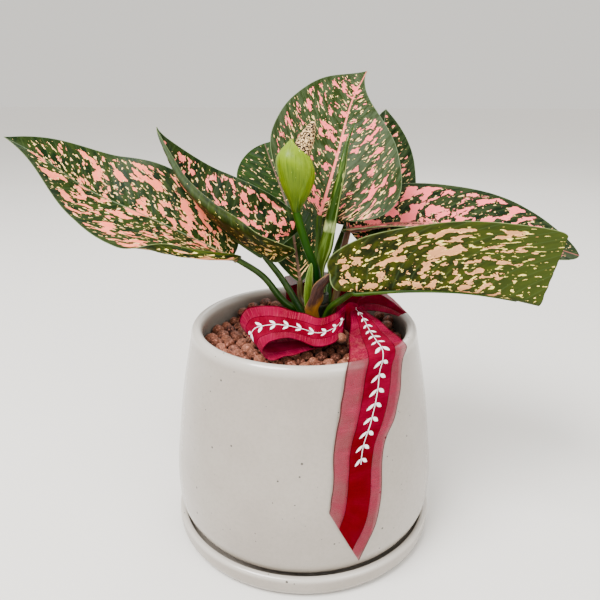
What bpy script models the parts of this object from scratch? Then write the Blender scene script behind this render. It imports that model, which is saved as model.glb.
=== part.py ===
"""Potted aglaonema: a pink-blotched plant with a flower bud, in a glazed pot on a saucer, with a ribbon at its crown.

Every size below is in millimetres. Meshes are made in metres. The origin is the middle of the saucer's underside,
+Z is up, and the plant is seen from -Y.
"""
import math
import random

import bmesh
import bpy
import numpy as np
from mathutils import Vector
from mathutils.geometry import delaunay_2d_cdt

MM = 0.001
GAP = 0.3
SIDES = 40

# Saucer
SAUCER_RADIUS = 82.0
SAUCER_HEIGHT = 13.0
SAUCER_WALL = 4.0
SAUCER_FLOOR = 5.0

# Pot
POT_FOOT_RADIUS = 59.0
POT_BELLY_RADIUS = 81.2
POT_BELLY_Z = 33.0
POT_RIM_RADIUS = 68.0
POT_HEIGHT = 134.8
POT_WALL = 6.6
POT_FLOOR = 7.0
DRAIN_RADIUS = 6.0

# Growing medium
BED_Z = 120.3
BED_MOUND = 1.4
PEBBLE_SIZE = 9.2
PEBBLE_HEIGHT = 3.2

# Cane
STEM_X = 5.0
STEM_Y = 8.0
STEM_RADIUS = 6.0
STEM_FOOT_Z = 88.0
STEM_TOP = (10.0, 6.0, 150.0)
PETIOLE_RADIUS = 2.6
FOOT_Z = 131.0

# Blades and cloth
BLADE_THICKNESS = 0.8
RIBBON_THICKNESS = 0.8

# The pot's outer side: height and radius, from the foot to the lip
POT_FOOT_Z = SAUCER_FLOOR + GAP
POT_SIDE = [(POT_FOOT_Z, POT_FOOT_RADIUS), (POT_FOOT_Z + 1.5, 66.0), (13.0, 76.2), (21.5, 80.2),
            (POT_BELLY_Z, POT_BELLY_RADIUS), (48.0, 80.8), (64.0, 78.9), (86.0, 76.2), (107.0, 72.6),
            (122.0, 69.6), (POT_HEIGHT - 4.3, POT_RIM_RADIUS)]

COLOURS = {
    "glaze": ((0.62, 0.60, 0.56), 0.25),
    "soil": ((0.30, 0.14, 0.08), 0.9),
    "cane": ((0.10, 0.16, 0.05), 0.6),
    "leaf": ((0.05, 0.12, 0.06), 0.4),
    "new_leaf": ((0.25, 0.42, 0.12), 0.4),
    "spathe": ((0.28, 0.42, 0.06), 0.4),
    "spadix": ((0.75, 0.66, 0.48), 0.7),
    "bract_green": ((0.35, 0.55, 0.10), 0.5),
    "bract_brown": ((0.25, 0.13, 0.03), 0.7),
    "ribbon": ((0.50, 0.01, 0.05), 0.4),
}

# Each leaf: where its stalk stands on the cane (degrees round it), the stalk's way up to the blade, the midrib, the
# right and left half of the blade (seen from above with the tip ahead) as its width and how fast it widens from the
# base and narrows to the tip, the way the upper side looks at base and tip, the rise of each half in degrees at base,
# middle and tip, the curl of each half in degrees, the lean of both halves towards the tip, at base and tip, and the
# margin's waves: height and count.
LEAVES = {
    "leaf_left": dict(
        foot=170, petiole=[(-12, 6, 143), (-26, 6, 160)],
        midrib=[(-44, 5, 172), (-73, 1, 187), (-101, 0, 200), (-126, 0, 211), (-155, -5, 233), (-168.5, -10, 242)],
        halves=((34, 0.62, 0.85), (41, 0.5, 1.2)), face=[(0, -0.25, 1), (0, -0.35, 1)],
        right=(46, 36, 20), left=(30, -6, -14), curl=(10, 25), lean=(0, 0), waves=(1.0, 2)),
    "leaf_left_inner": dict(
        foot=210, petiole=[(-6, 4, 146), (-14, 5, 159)],
        midrib=[(-25, 3, 174.5), (-38, 2, 183), (-55, 5, 196), (-73, 10.5, 215.5), (-87.5, 12.5, 246.5)],
        halves=((37, 0.9, 1.2), (28, 0.4, 0.9)), face=[(0.1, 0.0, 1), (0.5, -0.3, 1)],
        right=(52, 52, 60), left=(58, 40, 38), curl=(6, 15), lean=(-1.1, 0), waves=(0.8, 2)),
    "leaf_back_left": dict(
        foot=133, petiole=[(-4, 18, 144)],
        midrib=[(-4.5, 20, 152), (-8, 27, 171), (-12.5, 38, 188), (-20, 52, 205), (-28, 66, 219), (-35, 79, 232)],
        halves=((30, 0.75, 0.5), (28, 0.8, 0.5)), face=[(0, -1, 0.6), (-0.1, -0.8, 1)],
        right=(15, 20, 10), left=(15, 15, 5), curl=(0, 0), lean=(0, 0), waves=(0.8, 2)),
    "leaf_centre": dict(
        foot=88, petiole=[(6.5, 17.5, 150), (7, 16.5, 172)],
        midrib=[(7.5, 15.5, 195), (12, 21, 211), (17, 31, 230), (24, 53, 259), (33, 77, 278)],
        halves=((44, 0.5, 1.8), (42, 0.6, 0.98)), face=[(0.1, -1, 0.5), (0, -0.9, 0.7)],
        right=(18, 20, 10), left=(18, 15, 5), curl=(8, 12), lean=(0, 0), waves=(1.4, 3)),
    "leaf_back_right": dict(
        foot=46, petiole=[(13.5, 20, 150), (17, 31, 168)],
        midrib=[(23, 45, 184), (35, 55, 204), (43, 63, 228), (46, 68, 255)],
        halves=((33, 0.5, 0.95), (24, 0.55, 0.9)), face=[(0.2, -0.8, 0.6), (0.3, -0.8, 0.5)],
        right=(6, 10, 30), left=(20, 20, 40), curl=(0, 0), lean=(0, 0), waves=(0.8, 2)),
    "leaf_right": dict(
        foot=4, petiole=[(19.5, 12, 152), (22, 20, 172)],
        midrib=[(25, 26, 186), (58, 29, 190), (95, 25, 189), (130, 16, 184), (158, 9, 177)],
        halves=((33, 0.5, 0.6), (33, 0.62, 0.62)), face=[(0, -0.3, 1), (0, -0.25, 1)],
        right=(35, 20, 0), left=(24, 24, 10), curl=(0, 0), lean=(0, 0), waves=(0.8, 2)),
    "leaf_front_right": dict(
        foot=-48, petiole=[(16.5, -4.5, 145), (22.5, -10, 152)],
        midrib=[(29, -15, 159), (60, -25, 165), (91, -30, 166), (113, -31, 163), (127, -31, 160)],
        halves=((42, 0.22, 0.02), (33, 0.3, 0.3)), face=[(0, 0.25, 1), (0, 0.15, 1)],
        right=(84, 80, 84), left=(58, 62, 66), curl=(0, 0), lean=(-0.6, 0.05), waves=(1.0, 3), solver="MANIFOLD"),
}

# The rolled new leaf: its way up from the cane's top, and its radii
NEW_LEAF_PATH = [(11, 7.6, 150.4), (9.6, 8, 168), (12.4, 8.2, 182), (15.5, 7.5, 200), (20.3, 8.5, 223.8),
                 (23.5, 13, 240), (26.6, 16, 248.7)]
NEW_LEAF_RADII = [1.9, 1.8, 3.9, 3.6, 3.1, 2.7, 2.1, 1.2, 0.5]

# The spathe: its radii from foot to top, the way that its opening looks, in degrees, and the spike inside it
SPATHE_RADII = [2.4, 4.5, 7.2, 9.3, 10.6, 10.4, 8.9]
SPATHE_OPEN_TOWARDS = 25.0
SPADIX_PATH = [(-4.7, -5.6, 211.8), (-3.7, -5.3, 228), (2.3, -2.9, 244), (5.3, -1.2, 250.6)]

# The bracts: each one's blade, and the rows and columns of its surface
BRACTS = {
    "bract_green": (dict(
        midrib=[(2.5, 1.4, 135), (0.9, -0.8, 147), (0.6, -2.9, 158), (1.9, -4.8, 172)],
        halves=((2.4, 0.7, 0.6), (2.4, 0.7, 0.6)), face=[(-0.4, 1, 0.1), (-0.3, 1, 0.1)],
        right=(30, 30, 20), left=(30, 30, 20), curl=(0, 0), lean=(0, 0), waves=(0, 1)), 9, 3),
    "bract_brown": (dict(
        midrib=[(5.6, 0.6, 132), (5.6, -4.6, 144), (9, -7.2, 156), (16, -8.5, 167)],
        halves=((4.6, 0.3, 0.5), (5.6, 0.3, 0.5)), face=[(0, 1, 0.1), (-0.2, 1, 0.3)],
        right=(35, 40, 40), left=(35, 40, 40), curl=(20, 20), lean=(0, 0), waves=(0.6, 2)), 10, 4),
}


def spread(values):
    """The values' places from 0 to 1 along the line through them."""
    steps = np.linalg.norm(np.diff(values, axis=0), axis=1)
    places = np.concatenate([[0.0], np.cumsum(steps)])
    return places / places[-1]


def smooth(values, t, places=None):
    """Points at t, from 0 to 1, on the smooth curve through the values."""
    values = np.asarray(values, float)
    if values.ndim == 1:
        values = values[:, None]
        places = np.linspace(0, 1, len(values)) if places is None else places
        return smooth(values, t, places)[:, 0]
    places = spread(values) if places is None else np.asarray(places)
    slopes = np.gradient(values, places, axis=0)
    t = np.clip(np.atleast_1d(t), 0, 1)
    i = np.clip(np.searchsorted(places, t, side="right") - 1, 0, len(places) - 2)
    width = (places[i + 1] - places[i])[:, None]
    s = (t[:, None] - places[i][:, None]) / width
    start = (2 * s**3 - 3 * s**2 + 1) * values[i] + (s**3 - 2 * s**2 + s) * width * slopes[i]
    end = (3 * s**2 - 2 * s**3) * values[i + 1] + (s**3 - s**2) * width * slopes[i + 1]
    return start + end


def unit(vectors):
    """The vectors at length 1."""
    return vectors / np.linalg.norm(vectors, axis=-1, keepdims=True)


def material(colour):
    """The Principled material of that name in COLOURS."""
    found = bpy.data.materials.get(colour)
    if found:
        return found
    made = bpy.data.materials.new(colour)
    made.use_nodes = True
    shader = made.node_tree.nodes["Principled BSDF"]
    rgb, roughness = COLOURS[colour]
    shader.inputs["Base Color"].default_value = (*rgb, 1)
    shader.inputs["Roughness"].default_value = roughness
    return made


def new_object(name, points, faces, colour):
    """A smooth-shaded object from points in millimetres and faces, with its faces turned outwards."""
    mesh = bpy.data.meshes.new(name)
    mesh.from_pydata((np.asarray(points) * MM).tolist(), [], faces)
    shell = bmesh.new()
    shell.from_mesh(mesh)
    bmesh.ops.recalc_face_normals(shell, faces=shell.faces[:])
    shell.to_mesh(mesh)
    shell.free()
    mesh.shade_smooth()
    mesh.set_sharp_from_angle(angle=math.radians(50))
    mesh.materials.append(material(colour))
    item = bpy.data.objects.new(name, mesh)
    bpy.context.scene.collection.objects.link(item)
    return item


def apply_boolean(item, operation, cutters, solver="EXACT"):
    """Apply one Boolean with all the cutters to the object, and remove them."""
    group = bpy.data.collections.new(item.name + "_cutters")
    bpy.context.scene.collection.children.link(group)
    for cutter in cutters:
        cutter.hide_render = True
        cutter.display_type = "WIRE"
        group.objects.link(cutter)
    boolean = item.modifiers.new(operation, "BOOLEAN")
    boolean.operation = operation
    boolean.operand_type = "COLLECTION"
    boolean.collection = group
    boolean.solver = solver
    boolean.material_mode = "TRANSFER"
    depsgraph = bpy.context.evaluated_depsgraph_get()
    done = bpy.data.meshes.new_from_object(item.evaluated_get(depsgraph))
    item.modifiers.clear()
    item.data = done
    for cutter in cutters:
        bpy.data.objects.remove(cutter)
    bpy.data.collections.remove(group)


def fuse(name, shapes, colour, solver="EXACT"):
    """One body from several closed shapes that reach into each other."""
    pieces = [new_object(name if i == 0 else name + "_piece", *shape, colour) for i, shape in enumerate(shapes)]
    apply_boolean(pieces[0], "UNION", pieces[1:], solver)
    return pieces[0]


def turned(profile, sides=SIDES):
    """Points and faces of a closed (radius, height) outline turned round the Z axis."""
    angles = np.linspace(0, 2 * math.pi, sides, endpoint=False)
    points = [(r * math.cos(a), r * math.sin(a), z) for a in angles for r, z in profile]
    count = len(profile)
    faces = []
    for i in range(sides):
        for j in range(count):
            a, b = i * count, (i + 1) % sides * count
            k = (j + 1) % count
            faces.append((a + j, b + j, b + k, a + k))
    return points, faces


def lofted(rings):
    """Points and faces of a closed skin over rings of equally many points, with a flat cap at each end."""
    rings = np.asarray(rings, float)
    rows, sides = rings.shape[:2]
    faces = [tuple(range(sides)), tuple(range((rows - 1) * sides, rows * sides))]
    for i in range(rows - 1):
        for j in range(sides):
            k = (j + 1) % sides
            faces.append((i * sides + j, i * sides + k, (i + 1) * sides + k, (i + 1) * sides + j))
    return rings.reshape(-1, 3), faces


def stacked(profile, sides=SIDES, axis=(0.0, 0.0)):
    """A solid turned round an upright axis from a (radius, height) outline that runs from cap to cap."""
    angles = np.linspace(0, 2 * math.pi, sides, endpoint=False)
    rings = [[(axis[0] + r * math.cos(a), axis[1] + r * math.sin(a), z) for a in angles] for r, z in profile]
    return lofted(rings)


def frames(path):
    """Forward, side and up directions along a path, without twist."""
    forward = unit(np.gradient(path, axis=0))
    side = np.zeros_like(forward)
    hint = np.array([0.0, 1.0, 0.0]) if abs(forward[0][1]) < 0.9 else np.array([1.0, 0.0, 0.0])
    for i, ahead in enumerate(forward):
        hint = hint - ahead * hint.dot(ahead)
        side[i] = hint = hint / np.linalg.norm(hint)
    return forward, side, np.cross(forward, side)


def tube(path, radii, sides=8):
    """Points and faces of a round rod along a path, with a radius at each of its points."""
    path = np.asarray(path, float)
    forward, side, up = frames(path)
    angles = np.linspace(0, 2 * math.pi, sides, endpoint=False)
    rings = [[p + r * (math.cos(a) * s + math.sin(a) * u) for a in angles]
             for p, r, s, u in zip(path, radii, side, up)]
    return lofted(rings)


def slab(grid, thickness):
    """Points and faces of a sheet of that thickness round a grid of points, both faces split alike."""
    rows, cols = grid.shape[:2]
    along = np.gradient(grid, axis=0)
    across = np.gradient(grid, axis=1)
    normals = unit(np.cross(along, across))
    points = np.concatenate([(grid + normals * thickness / 2).reshape(-1, 3),
                             (grid - normals * thickness / 2).reshape(-1, 3)])
    under = rows * cols
    faces = []
    for i in range(rows - 1):
        for j in range(cols - 1):
            a, b, c, d = i * cols + j, i * cols + j + 1, (i + 1) * cols + j + 1, (i + 1) * cols + j
            faces += [(a, b, c), (a, c, d), (under + a, under + c, under + b), (under + a, under + d, under + c)]
    edge = [j for j in range(cols)] + [i * cols + cols - 1 for i in range(1, rows)]
    edge += [(rows - 1) * cols + j for j in range(cols - 2, -1, -1)] + [i * cols for i in range(rows - 2, 0, -1)]
    for a, b in zip(edge, edge[1:] + edge[:1]):
        faces += [(a, b, under + b), (a, under + b, under + a)]
    return points, faces


def saucer():
    """The round saucer: a flat underside, a rounded outer edge and an upright wall."""
    inner = SAUCER_RADIUS - SAUCER_WALL
    outline = [(SAUCER_RADIUS - 6, 0), (SAUCER_RADIUS - 2.6, 0.9), (SAUCER_RADIUS - 0.7, 3.2), (SAUCER_RADIUS, 6.5),
               (SAUCER_RADIUS, SAUCER_HEIGHT - 1.4), (SAUCER_RADIUS - 0.7, SAUCER_HEIGHT - 0.3),
               (SAUCER_RADIUS - 1.9, SAUCER_HEIGHT), (inner + 0.6, SAUCER_HEIGHT - 0.4),
               (inner, SAUCER_HEIGHT - 1.6), (inner - 0.6, SAUCER_FLOOR + 3), (inner - 3.5, SAUCER_FLOOR)]
    return new_object("saucer", *stacked(outline), "glaze")


def pot_radius(z):
    """The outer radius of the pot at a height."""
    heights, radii = zip(*POT_SIDE)
    return float(np.interp(z, heights, radii))


def pot():
    """The bellied pot with a rolled lip and a drain hole."""
    lip = POT_WALL / 2
    top = [(POT_RIM_RADIUS - lip + lip * math.cos(a), POT_HEIGHT - 4.3 + 4.3 * math.sin(a))
           for a in np.linspace(0.35, math.pi - 0.1, 7)]
    outside = [(r, z) for z, r in POT_SIDE]
    inside_z = [126.0, 107.0, 86.0, 64.0, 42.0, 28.0, 19.0]
    inside = [(pot_radius(z) - POT_WALL, z) for z in inside_z]
    base = POT_FOOT_Z + POT_FLOOR
    floor = [(POT_FOOT_RADIUS + 4, base + 1.2), (POT_FOOT_RADIUS - 4, base), (DRAIN_RADIUS, base)]
    outline = [(DRAIN_RADIUS, POT_FOOT_Z)] + outside + top + inside + floor
    return new_object("pot", *turned(outline), "glaze")


def pebble_centres(radius):
    """Pebble places spread evenly over a disc, a little out of true."""
    rng = random.Random(7)
    step = PEBBLE_SIZE / 1.905
    count = int((radius / step) ** 2)
    centres = []
    for i in range(count):
        r, a = step * math.sqrt(i + 0.5), i * math.pi * (3 - math.sqrt(5))
        shift = Vector((rng.uniform(-0.7, 0.7), rng.uniform(-0.7, 0.7)))
        centres.append(Vector((r * math.cos(a), r * math.sin(a))) + shift)
    return [c for c in centres if c.length < radius - PEBBLE_SIZE * 0.36]


def bed_height(x, y):
    """The height of the hollows between the pebbles."""
    away = ((x - STEM_X) ** 2 + (y - STEM_Y) ** 2) / 26.0**2
    return BED_Z + BED_MOUND * math.exp(-away)


def pebble_top(radius, sides):
    """Points and triangles of the pebbled surface inside a circle, whose points come first."""
    edge = [Vector((radius * math.cos(a), radius * math.sin(a)))
            for a in np.linspace(0, 2 * math.pi, sides, endpoint=False)]
    centres = pebble_centres(radius)
    hollows = [sum((centres[i] for i in tri), Vector((0, 0))) / 3
               for tri in delaunay_2d_cdt(centres, [], [], 0, 0.001)[2]]
    hollows = [h for h in hollows if h.length < radius - 1.5]
    shoulders = [c + PEBBLE_SIZE * 0.3 * Vector((math.cos(a), math.sin(a)))
                 for c in centres for a in np.linspace(0, 2 * math.pi, 6, endpoint=False) + 0.3]
    shoulders = [s for s in shoulders if s.length < radius - 0.8]
    flat = edge + centres + shoulders + hollows
    rise = [0.0] * sides + [1.0] * len(centres) + [0.72] * len(shoulders) + [0.0] * len(hollows)
    found, _, triangles, origin, _, _ = delaunay_2d_cdt(flat, [], [], 0, 0.0001)
    points = []
    for spot, sources in zip(found, origin):
        points.append((spot.x, spot.y, bed_height(spot.x, spot.y) + PEBBLE_HEIGHT * rise[sources[0]]))
    rim = {sources[0]: i for i, sources in enumerate(origin) if sources[0] < sides}
    return points, [tuple(t) for t in triangles], [rim[i] for i in range(sides)]


def growing_medium():
    """Soil that fills the pot, with a cover of clay pebbles and a plain hole for the cane."""
    clear = POT_WALL + GAP
    top_radius = pot_radius(BED_Z) - clear - 0.1
    points, faces, rim = pebble_top(top_radius, SIDES)
    angles = np.linspace(0, 2 * math.pi, SIDES, endpoint=False)
    floor = POT_FOOT_Z + POT_FLOOR
    levels = [(z, pot_radius(z) - clear - 0.1) for z in (107.0, 86.0, 64.0, 42.0, 28.0, 19.4)]
    levels += [(floor + 1.6, POT_FOOT_RADIUS + 3.4), (floor + GAP, POT_FOOT_RADIUS - 4)]
    above = rim
    for z, radius in levels:
        ring = list(range(len(points), len(points) + SIDES))
        points += [(radius * math.cos(a), radius * math.sin(a), z) for a in angles]
        faces += [(above[i], above[(i + 1) % SIDES], ring[(i + 1) % SIDES], ring[i]) for i in range(SIDES)]
        above = ring
    faces.append(tuple(above))
    bed = new_object("growing_medium", points, faces, "soil")
    hole = stacked([(STEM_RADIUS + GAP + 0.1, STEM_FOOT_Z - GAP), (STEM_RADIUS + GAP + 0.1, POT_HEIGHT)],
                   20, (STEM_X, STEM_Y))
    apply_boolean(bed, "DIFFERENCE", [new_object("cane_hole", *hole, "soil")])
    return bed


def stem():
    """The short cane, upright in the soil and leaning a little above it."""
    angles = np.linspace(0, 2 * math.pi, 16, endpoint=False)
    levels = [(STEM_FOOT_Z, 1.0), (112, 1.0), (126, 1.0), (134, 1.0), (142, 0.96), (147, 0.88), (STEM_TOP[2], 0.76)]
    rings = [[cane_axis(z) + part * STEM_RADIUS * np.array([math.cos(a), math.sin(a), 0]) for a in angles]
             for z, part in levels]
    return new_object("stem", *lofted(rings), "cane")


def cane_axis(z):
    """The middle of the cane at a height."""
    lean = np.clip((z - 126.0) / (STEM_TOP[2] - 126.0), 0, 1)
    return np.array([STEM_X + (STEM_TOP[0] - STEM_X) * lean, STEM_Y + (STEM_TOP[1] - STEM_Y) * lean, z])


def foot_point(degrees, z=FOOT_Z, radius=PETIOLE_RADIUS):
    """Where a stalk stands against the cane."""
    reach = STEM_RADIUS + radius + GAP + 0.15
    angle = math.radians(degrees)
    return cane_axis(z) + reach * np.array([math.cos(angle), math.sin(angle), 0])


def outline(t, half):
    """The width of a half blade along the midrib."""
    width, widening, narrowing = half
    widest = widening / (widening + narrowing)
    return width * t**widening * (1 - t) ** narrowing / (widest**widening * (1 - widest) ** narrowing)


def blade_grid(midrib, halves, face, right, left, curl, lean, waves, rows, cols):
    """The middle surface of a leaf blade, from base to tip and from its left margin to its right."""
    t = np.linspace(0, 1, rows)
    spine = smooth(midrib, t)
    forward = unit(np.gradient(spine, axis=0))
    up = smooth(face, t, np.array([0.0, 1.0]))
    up = unit(up - forward * np.sum(up * forward, axis=1, keepdims=True))
    side = np.cross(forward, up)
    places = np.linspace(0, 1, cols) ** 1.25
    fine = np.linspace(0, 1, 25)
    middle = (fine[1:] + fine[:-1]) / 2
    sheets = []
    for sign, half, rise, bend in ((-1, halves[1], left, curl[1]), (1, halves[0], right, curl[0])):
        reach = np.maximum(outline(t, half), 1.0)
        lift = np.radians(smooth(list(rise), t)) * np.clip(t / 0.05, 0, 1)
        eased = np.clip(middle[None, :] * reach[:, None] / 5.0, 0, 1)
        angle = lift[:, None] * (3 * eased**2 - 2 * eased**3) + math.radians(bend) * (middle - 0.3)[None, :]
        out = np.cumsum(np.cos(angle), axis=1) * reach[:, None] / 24
        high = np.cumsum(np.sin(angle), axis=1) * reach[:, None] / 24
        sheet = np.zeros((rows, cols, 3))
        for i in range(rows):
            across = np.interp(places, fine, np.concatenate([[0], out[i]]))
            height = np.interp(places, fine, np.concatenate([[0], high[i]]))
            wave = waves[0] * places**2 * math.sin(2 * math.pi * waves[1] * t[i] + 1.5 * sign)
            wave *= reach[i] / half[0]
            tilt = angle[i][-1]
            drift = np.outer(wave, math.cos(tilt) * up[i] - math.sin(tilt) * sign * side[i])
            ahead = np.outer(places * reach[i] * (lean[0] + (lean[1] - lean[0]) * t[i]), forward[i])
            sheet[i] = spine[i] + np.outer(across, sign * side[i]) + np.outer(height, up[i]) + drift + ahead
        sheets.append(sheet)
    return np.concatenate([sheets[0][:, :0:-1], sheets[1]], axis=1), spine, up


def leaf(name, foot, petiole, midrib, halves, face, right, left, curl, lean, waves, solver="EXACT"):
    """A leaf: a stalk that runs on as a keel under the blade's midrib."""
    grid, spine, up = blade_grid(midrib, halves, face, right, left, curl, lean, waves, 14, 5)
    start = foot_point(foot)
    stalk = smooth([start, foot_point(foot, FOOT_Z + 4)] + petiole + [midrib[0]], np.linspace(0, 1, 8))
    keel_rows = 6
    keel = spine[1:keel_rows] - up[1:keel_rows] * 0.5
    radii = list(np.linspace(PETIOLE_RADIUS, 1.9, len(stalk))) + list(np.linspace(1.6, 0.7, len(keel)))
    rod = tube(np.concatenate([stalk, keel]), radii, 7)
    return fuse(name, [slab(grid, BLADE_THICKNESS), rod], "leaf", solver)


def leaf_new():
    """The youngest leaf, still rolled into a spear, on top of the cane."""
    path = smooth(NEW_LEAF_PATH, np.linspace(0, 1, 14))
    radii = smooth(NEW_LEAF_RADII, np.linspace(0, 1, 14))
    return new_object("leaf_new", *tube(path, radii, 10), "new_leaf")


def spathe():
    """The flower stalk and the spathe that it widens into, a hood open at its top towards the back right."""
    stalk = smooth([(7.6, 4.0, 150.35), (7.4, 0.4, 163), (0.6, -4, 185), (-4.2, -5, 202)], np.linspace(0, 1, 9))
    levels = np.linspace(0, 1, 11)
    around = np.linspace(0, 2 * math.pi, 16, endpoint=False)
    hooded = 0.5 - 0.5 * np.cos(around - math.radians(SPATHE_OPEN_TOWARDS))
    height = 26 + 14 * hooded**0.9
    wall = 1.1

    def ring(level, shrink):
        closing = np.clip((level - 0.7) / 0.3, 0, 1)
        closing = 0.75 * closing**2 * (3 - 2 * closing)
        radii = smooth(SPATHE_RADII, level)[0] * (1 - closing * hooded**3) - shrink
        return [(-4.2 - 0.8 * level + radius * math.cos(a), -5 - 0.8 * level + radius * math.sin(a),
                 202 + level * h) for a, h, radius in zip(around, height, radii)]

    outer = [ring(level, 0.0) for level in levels]
    inner = [ring(level, wall) for level in levels[:0:-1] if level > 0.15]
    rings = [[p + r * (math.cos(a) * np.array([1, 0, 0]) + math.sin(a) * np.array([0, 1, 0])) for a in around]
             for p, r in zip(stalk[:-1], np.linspace(2.6, 2.2, len(stalk) - 1))]
    return new_object("spathe", *lofted(rings + outer + inner), "spathe")


def spadix():
    """The knobbly spike inside the spathe."""
    rows, sides = 15, 14
    path = smooth(SPADIX_PATH, np.linspace(0, 1, rows))
    radii = smooth([2.2, 4.6, 5.1, 5.1, 4.8, 3.7, 1.2], np.linspace(0, 1, rows))
    forward, side, up = frames(path)
    rings = []
    for i in range(rows):
        radius = [radii[i] * (1 + 0.05 * (-1) ** (i + j)) for j in range(sides)]
        angles = np.linspace(0, 2 * math.pi, sides, endpoint=False)
        rings.append([path[i] + r * (math.cos(a) * side[i] + math.sin(a) * up[i]) for r, a in zip(radius, angles)])
    return new_object("spadix", *lofted(rings), "spadix")


def bracts():
    """The pale green bract and the dry brown one at the foot of the flower stalk."""
    for name, (shape, rows, cols) in BRACTS.items():
        grid, _, _ = blade_grid(**shape, rows=rows, cols=cols)
        new_object(name, *slab(grid, BLADE_THICKNESS), name)


def on_pot(degrees, z, off=1.1):
    """A point off the pot's outer side."""
    radius = pot_radius(z) + off
    return radius * math.cos(math.radians(degrees)), radius * math.sin(math.radians(degrees)), z


def strip(stations, rows, cols=5):
    """A grid along stations of (one edge, other edge, bulge between them)."""
    near = np.array([s[0] for s in stations], float)
    far = np.array([s[1] for s in stations], float)
    bulge = np.array([s[2] for s in stations], float)
    places = spread((near + far) / 2)
    t = np.linspace(0, 1, rows)
    near, far = smooth(near, t, places), smooth(far, t, places)
    bulge = np.interp(t, places, bulge)
    along = np.gradient((near + far) / 2, axis=0)
    out = unit(np.cross(along, far - near))
    v = np.linspace(0, 1, cols)
    grid = near[:, None] + (far - near)[:, None] * v[None, :, None]
    return grid + out[:, None] * (bulge[:, None] * (4 * v * (1 - v))[None, :])[:, :, None]


RIBBON_LOOP = [
    ((24, -17, 133), (26, 4, 145), 1), ((18.5, -27.5, 131.5), (18, -6, 142), 1),
    ((8.5, -31.5, 131.5), (9.5, -12.3, 141), 1), ((0.5, -31, 134), (1.5, -11, 143), 1.5),
    ((-6, -34.5, 137), (-7, -8, 144), 2), ((-12.5, -38.5, 137), (-16, -6, 145.5), 2),
    ((-16.5, -42, 136), (-27.5, -5.5, 145), 2), ((-19, -42.5, 132.5), (-35, -6, 142.5), 1),
    ((-18.5, -42.5, 128.5), (-38, -9, 136), 0), ((-14.5, -42, 126.5), (-34, -11, 129), 0),
    ((-7, -37.5, 126.5), (-22, -12, 126.6), 0), ((2.5, -30, 126.5), (-5, -9, 127), 0),
    ((14, -22, 127), (10, -6, 127.6), 0), ((26, -12, 129), (24, 4, 130), 0)]
RIBBON_TAIL_FRONT = [
    ((27, 4, 143), (31, 4, 144), 0), ((29, -12, 139), (44, -7, 141.5), 1), ((30, -32, 137), (54, -20, 139), 1.5),
    ((31, -50, 137.5), (60, -28.5, 138), 2), ((30.5, -59.5, 137), (63, -34, 136), 3),
    (on_pot(-65.5, 128), on_pot(-31, 130), 3.4), (on_pot(-67.5, 118), on_pot(-34.5, 119), 3.4),
    (on_pot(-71.5, 103), on_pot(-43, 102), 2.6), (on_pot(-73.2, 89), on_pot(-49.5, 91), 1.9),
    (on_pot(-73.4, 75), on_pot(-52, 78), 1.6), (on_pot(-74.2, 65), on_pot(-53, 60), 1.7),
    (on_pot(-74.6, 60), on_pot(-56.6, 40), 1.8), (on_pot(-75, 56), on_pot(-62.5, 21), 1.6)]
RIBBON_TAIL_SIDE = [
    ((30, 3, 141), (33, 14, 145), 0), ((40, 4, 140.5), (44.5, 26, 147), 1), ((50, 4, 139), (54, 22, 142.5), 1),
    ((57, 3, 138), (63, 11, 137.2), 0.5)]
RIBBON_BACK = [
    ((30, 8, 132), (32, 10, 143), 0), ((30, 24, 127.5), (34, 25, 150), 1), ((18, 33, 126.8), (19, 36, 153), 1),
    ((2, 33, 126.6), (2, 36, 155), 1), ((-13, 22, 126.6), (-15, 26, 154), 0)]


def ribbon():
    """The ribbon round the crown: its front loop, its band behind the plant, its two tails and its knot."""
    knot_rings = []
    for a in np.linspace(0.25, math.pi - 0.25, 6):
        knot_rings.append([(28.5 + 6.5 * math.sin(a) * math.cos(b), 4 + 8 * math.sin(a) * math.sin(b),
                            136 - 9.2 * math.cos(a)) for b in np.linspace(0, 2 * math.pi, 10, endpoint=False)])
    strips = [slab(strip(stations, rows), RIBBON_THICKNESS)
              for stations, rows in ((RIBBON_LOOP, 27), (RIBBON_TAIL_FRONT, 24), (RIBBON_TAIL_SIDE, 7),
                                     (RIBBON_BACK, 11))]
    return fuse("ribbon", [lofted(knot_rings)] + strips, "ribbon")


def main():
    """Build the whole plant in an empty scene."""
    for item in list(bpy.data.objects):
        bpy.data.objects.remove(item)
    saucer()
    pot()
    growing_medium()
    stem()
    for name, shape in LEAVES.items():
        leaf(name, **shape)
    leaf_new()
    spathe()
    spadix()
    bracts()
    ribbon()


main()
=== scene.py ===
"""The looks of the potted aglaonema: fine leaves, bud, pot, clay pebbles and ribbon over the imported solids.

Sizes are in millimetres, and meshes are made in metres.
"""

import math
import random

import bmesh
import bpy
import numpy as np
from mathutils import Matrix, Vector, noise


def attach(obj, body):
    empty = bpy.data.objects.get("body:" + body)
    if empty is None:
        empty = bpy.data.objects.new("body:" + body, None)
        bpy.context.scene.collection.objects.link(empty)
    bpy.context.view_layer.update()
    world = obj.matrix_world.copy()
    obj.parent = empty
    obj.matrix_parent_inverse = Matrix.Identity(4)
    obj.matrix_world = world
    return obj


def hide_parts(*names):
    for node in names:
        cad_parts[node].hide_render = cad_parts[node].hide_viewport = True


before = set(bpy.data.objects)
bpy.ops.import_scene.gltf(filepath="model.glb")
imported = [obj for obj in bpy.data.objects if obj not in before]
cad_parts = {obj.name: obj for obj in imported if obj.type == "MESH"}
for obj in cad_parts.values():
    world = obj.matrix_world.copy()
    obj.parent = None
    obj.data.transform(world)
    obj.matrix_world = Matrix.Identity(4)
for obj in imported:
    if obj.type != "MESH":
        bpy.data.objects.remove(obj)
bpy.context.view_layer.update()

MM = 0.001

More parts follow.
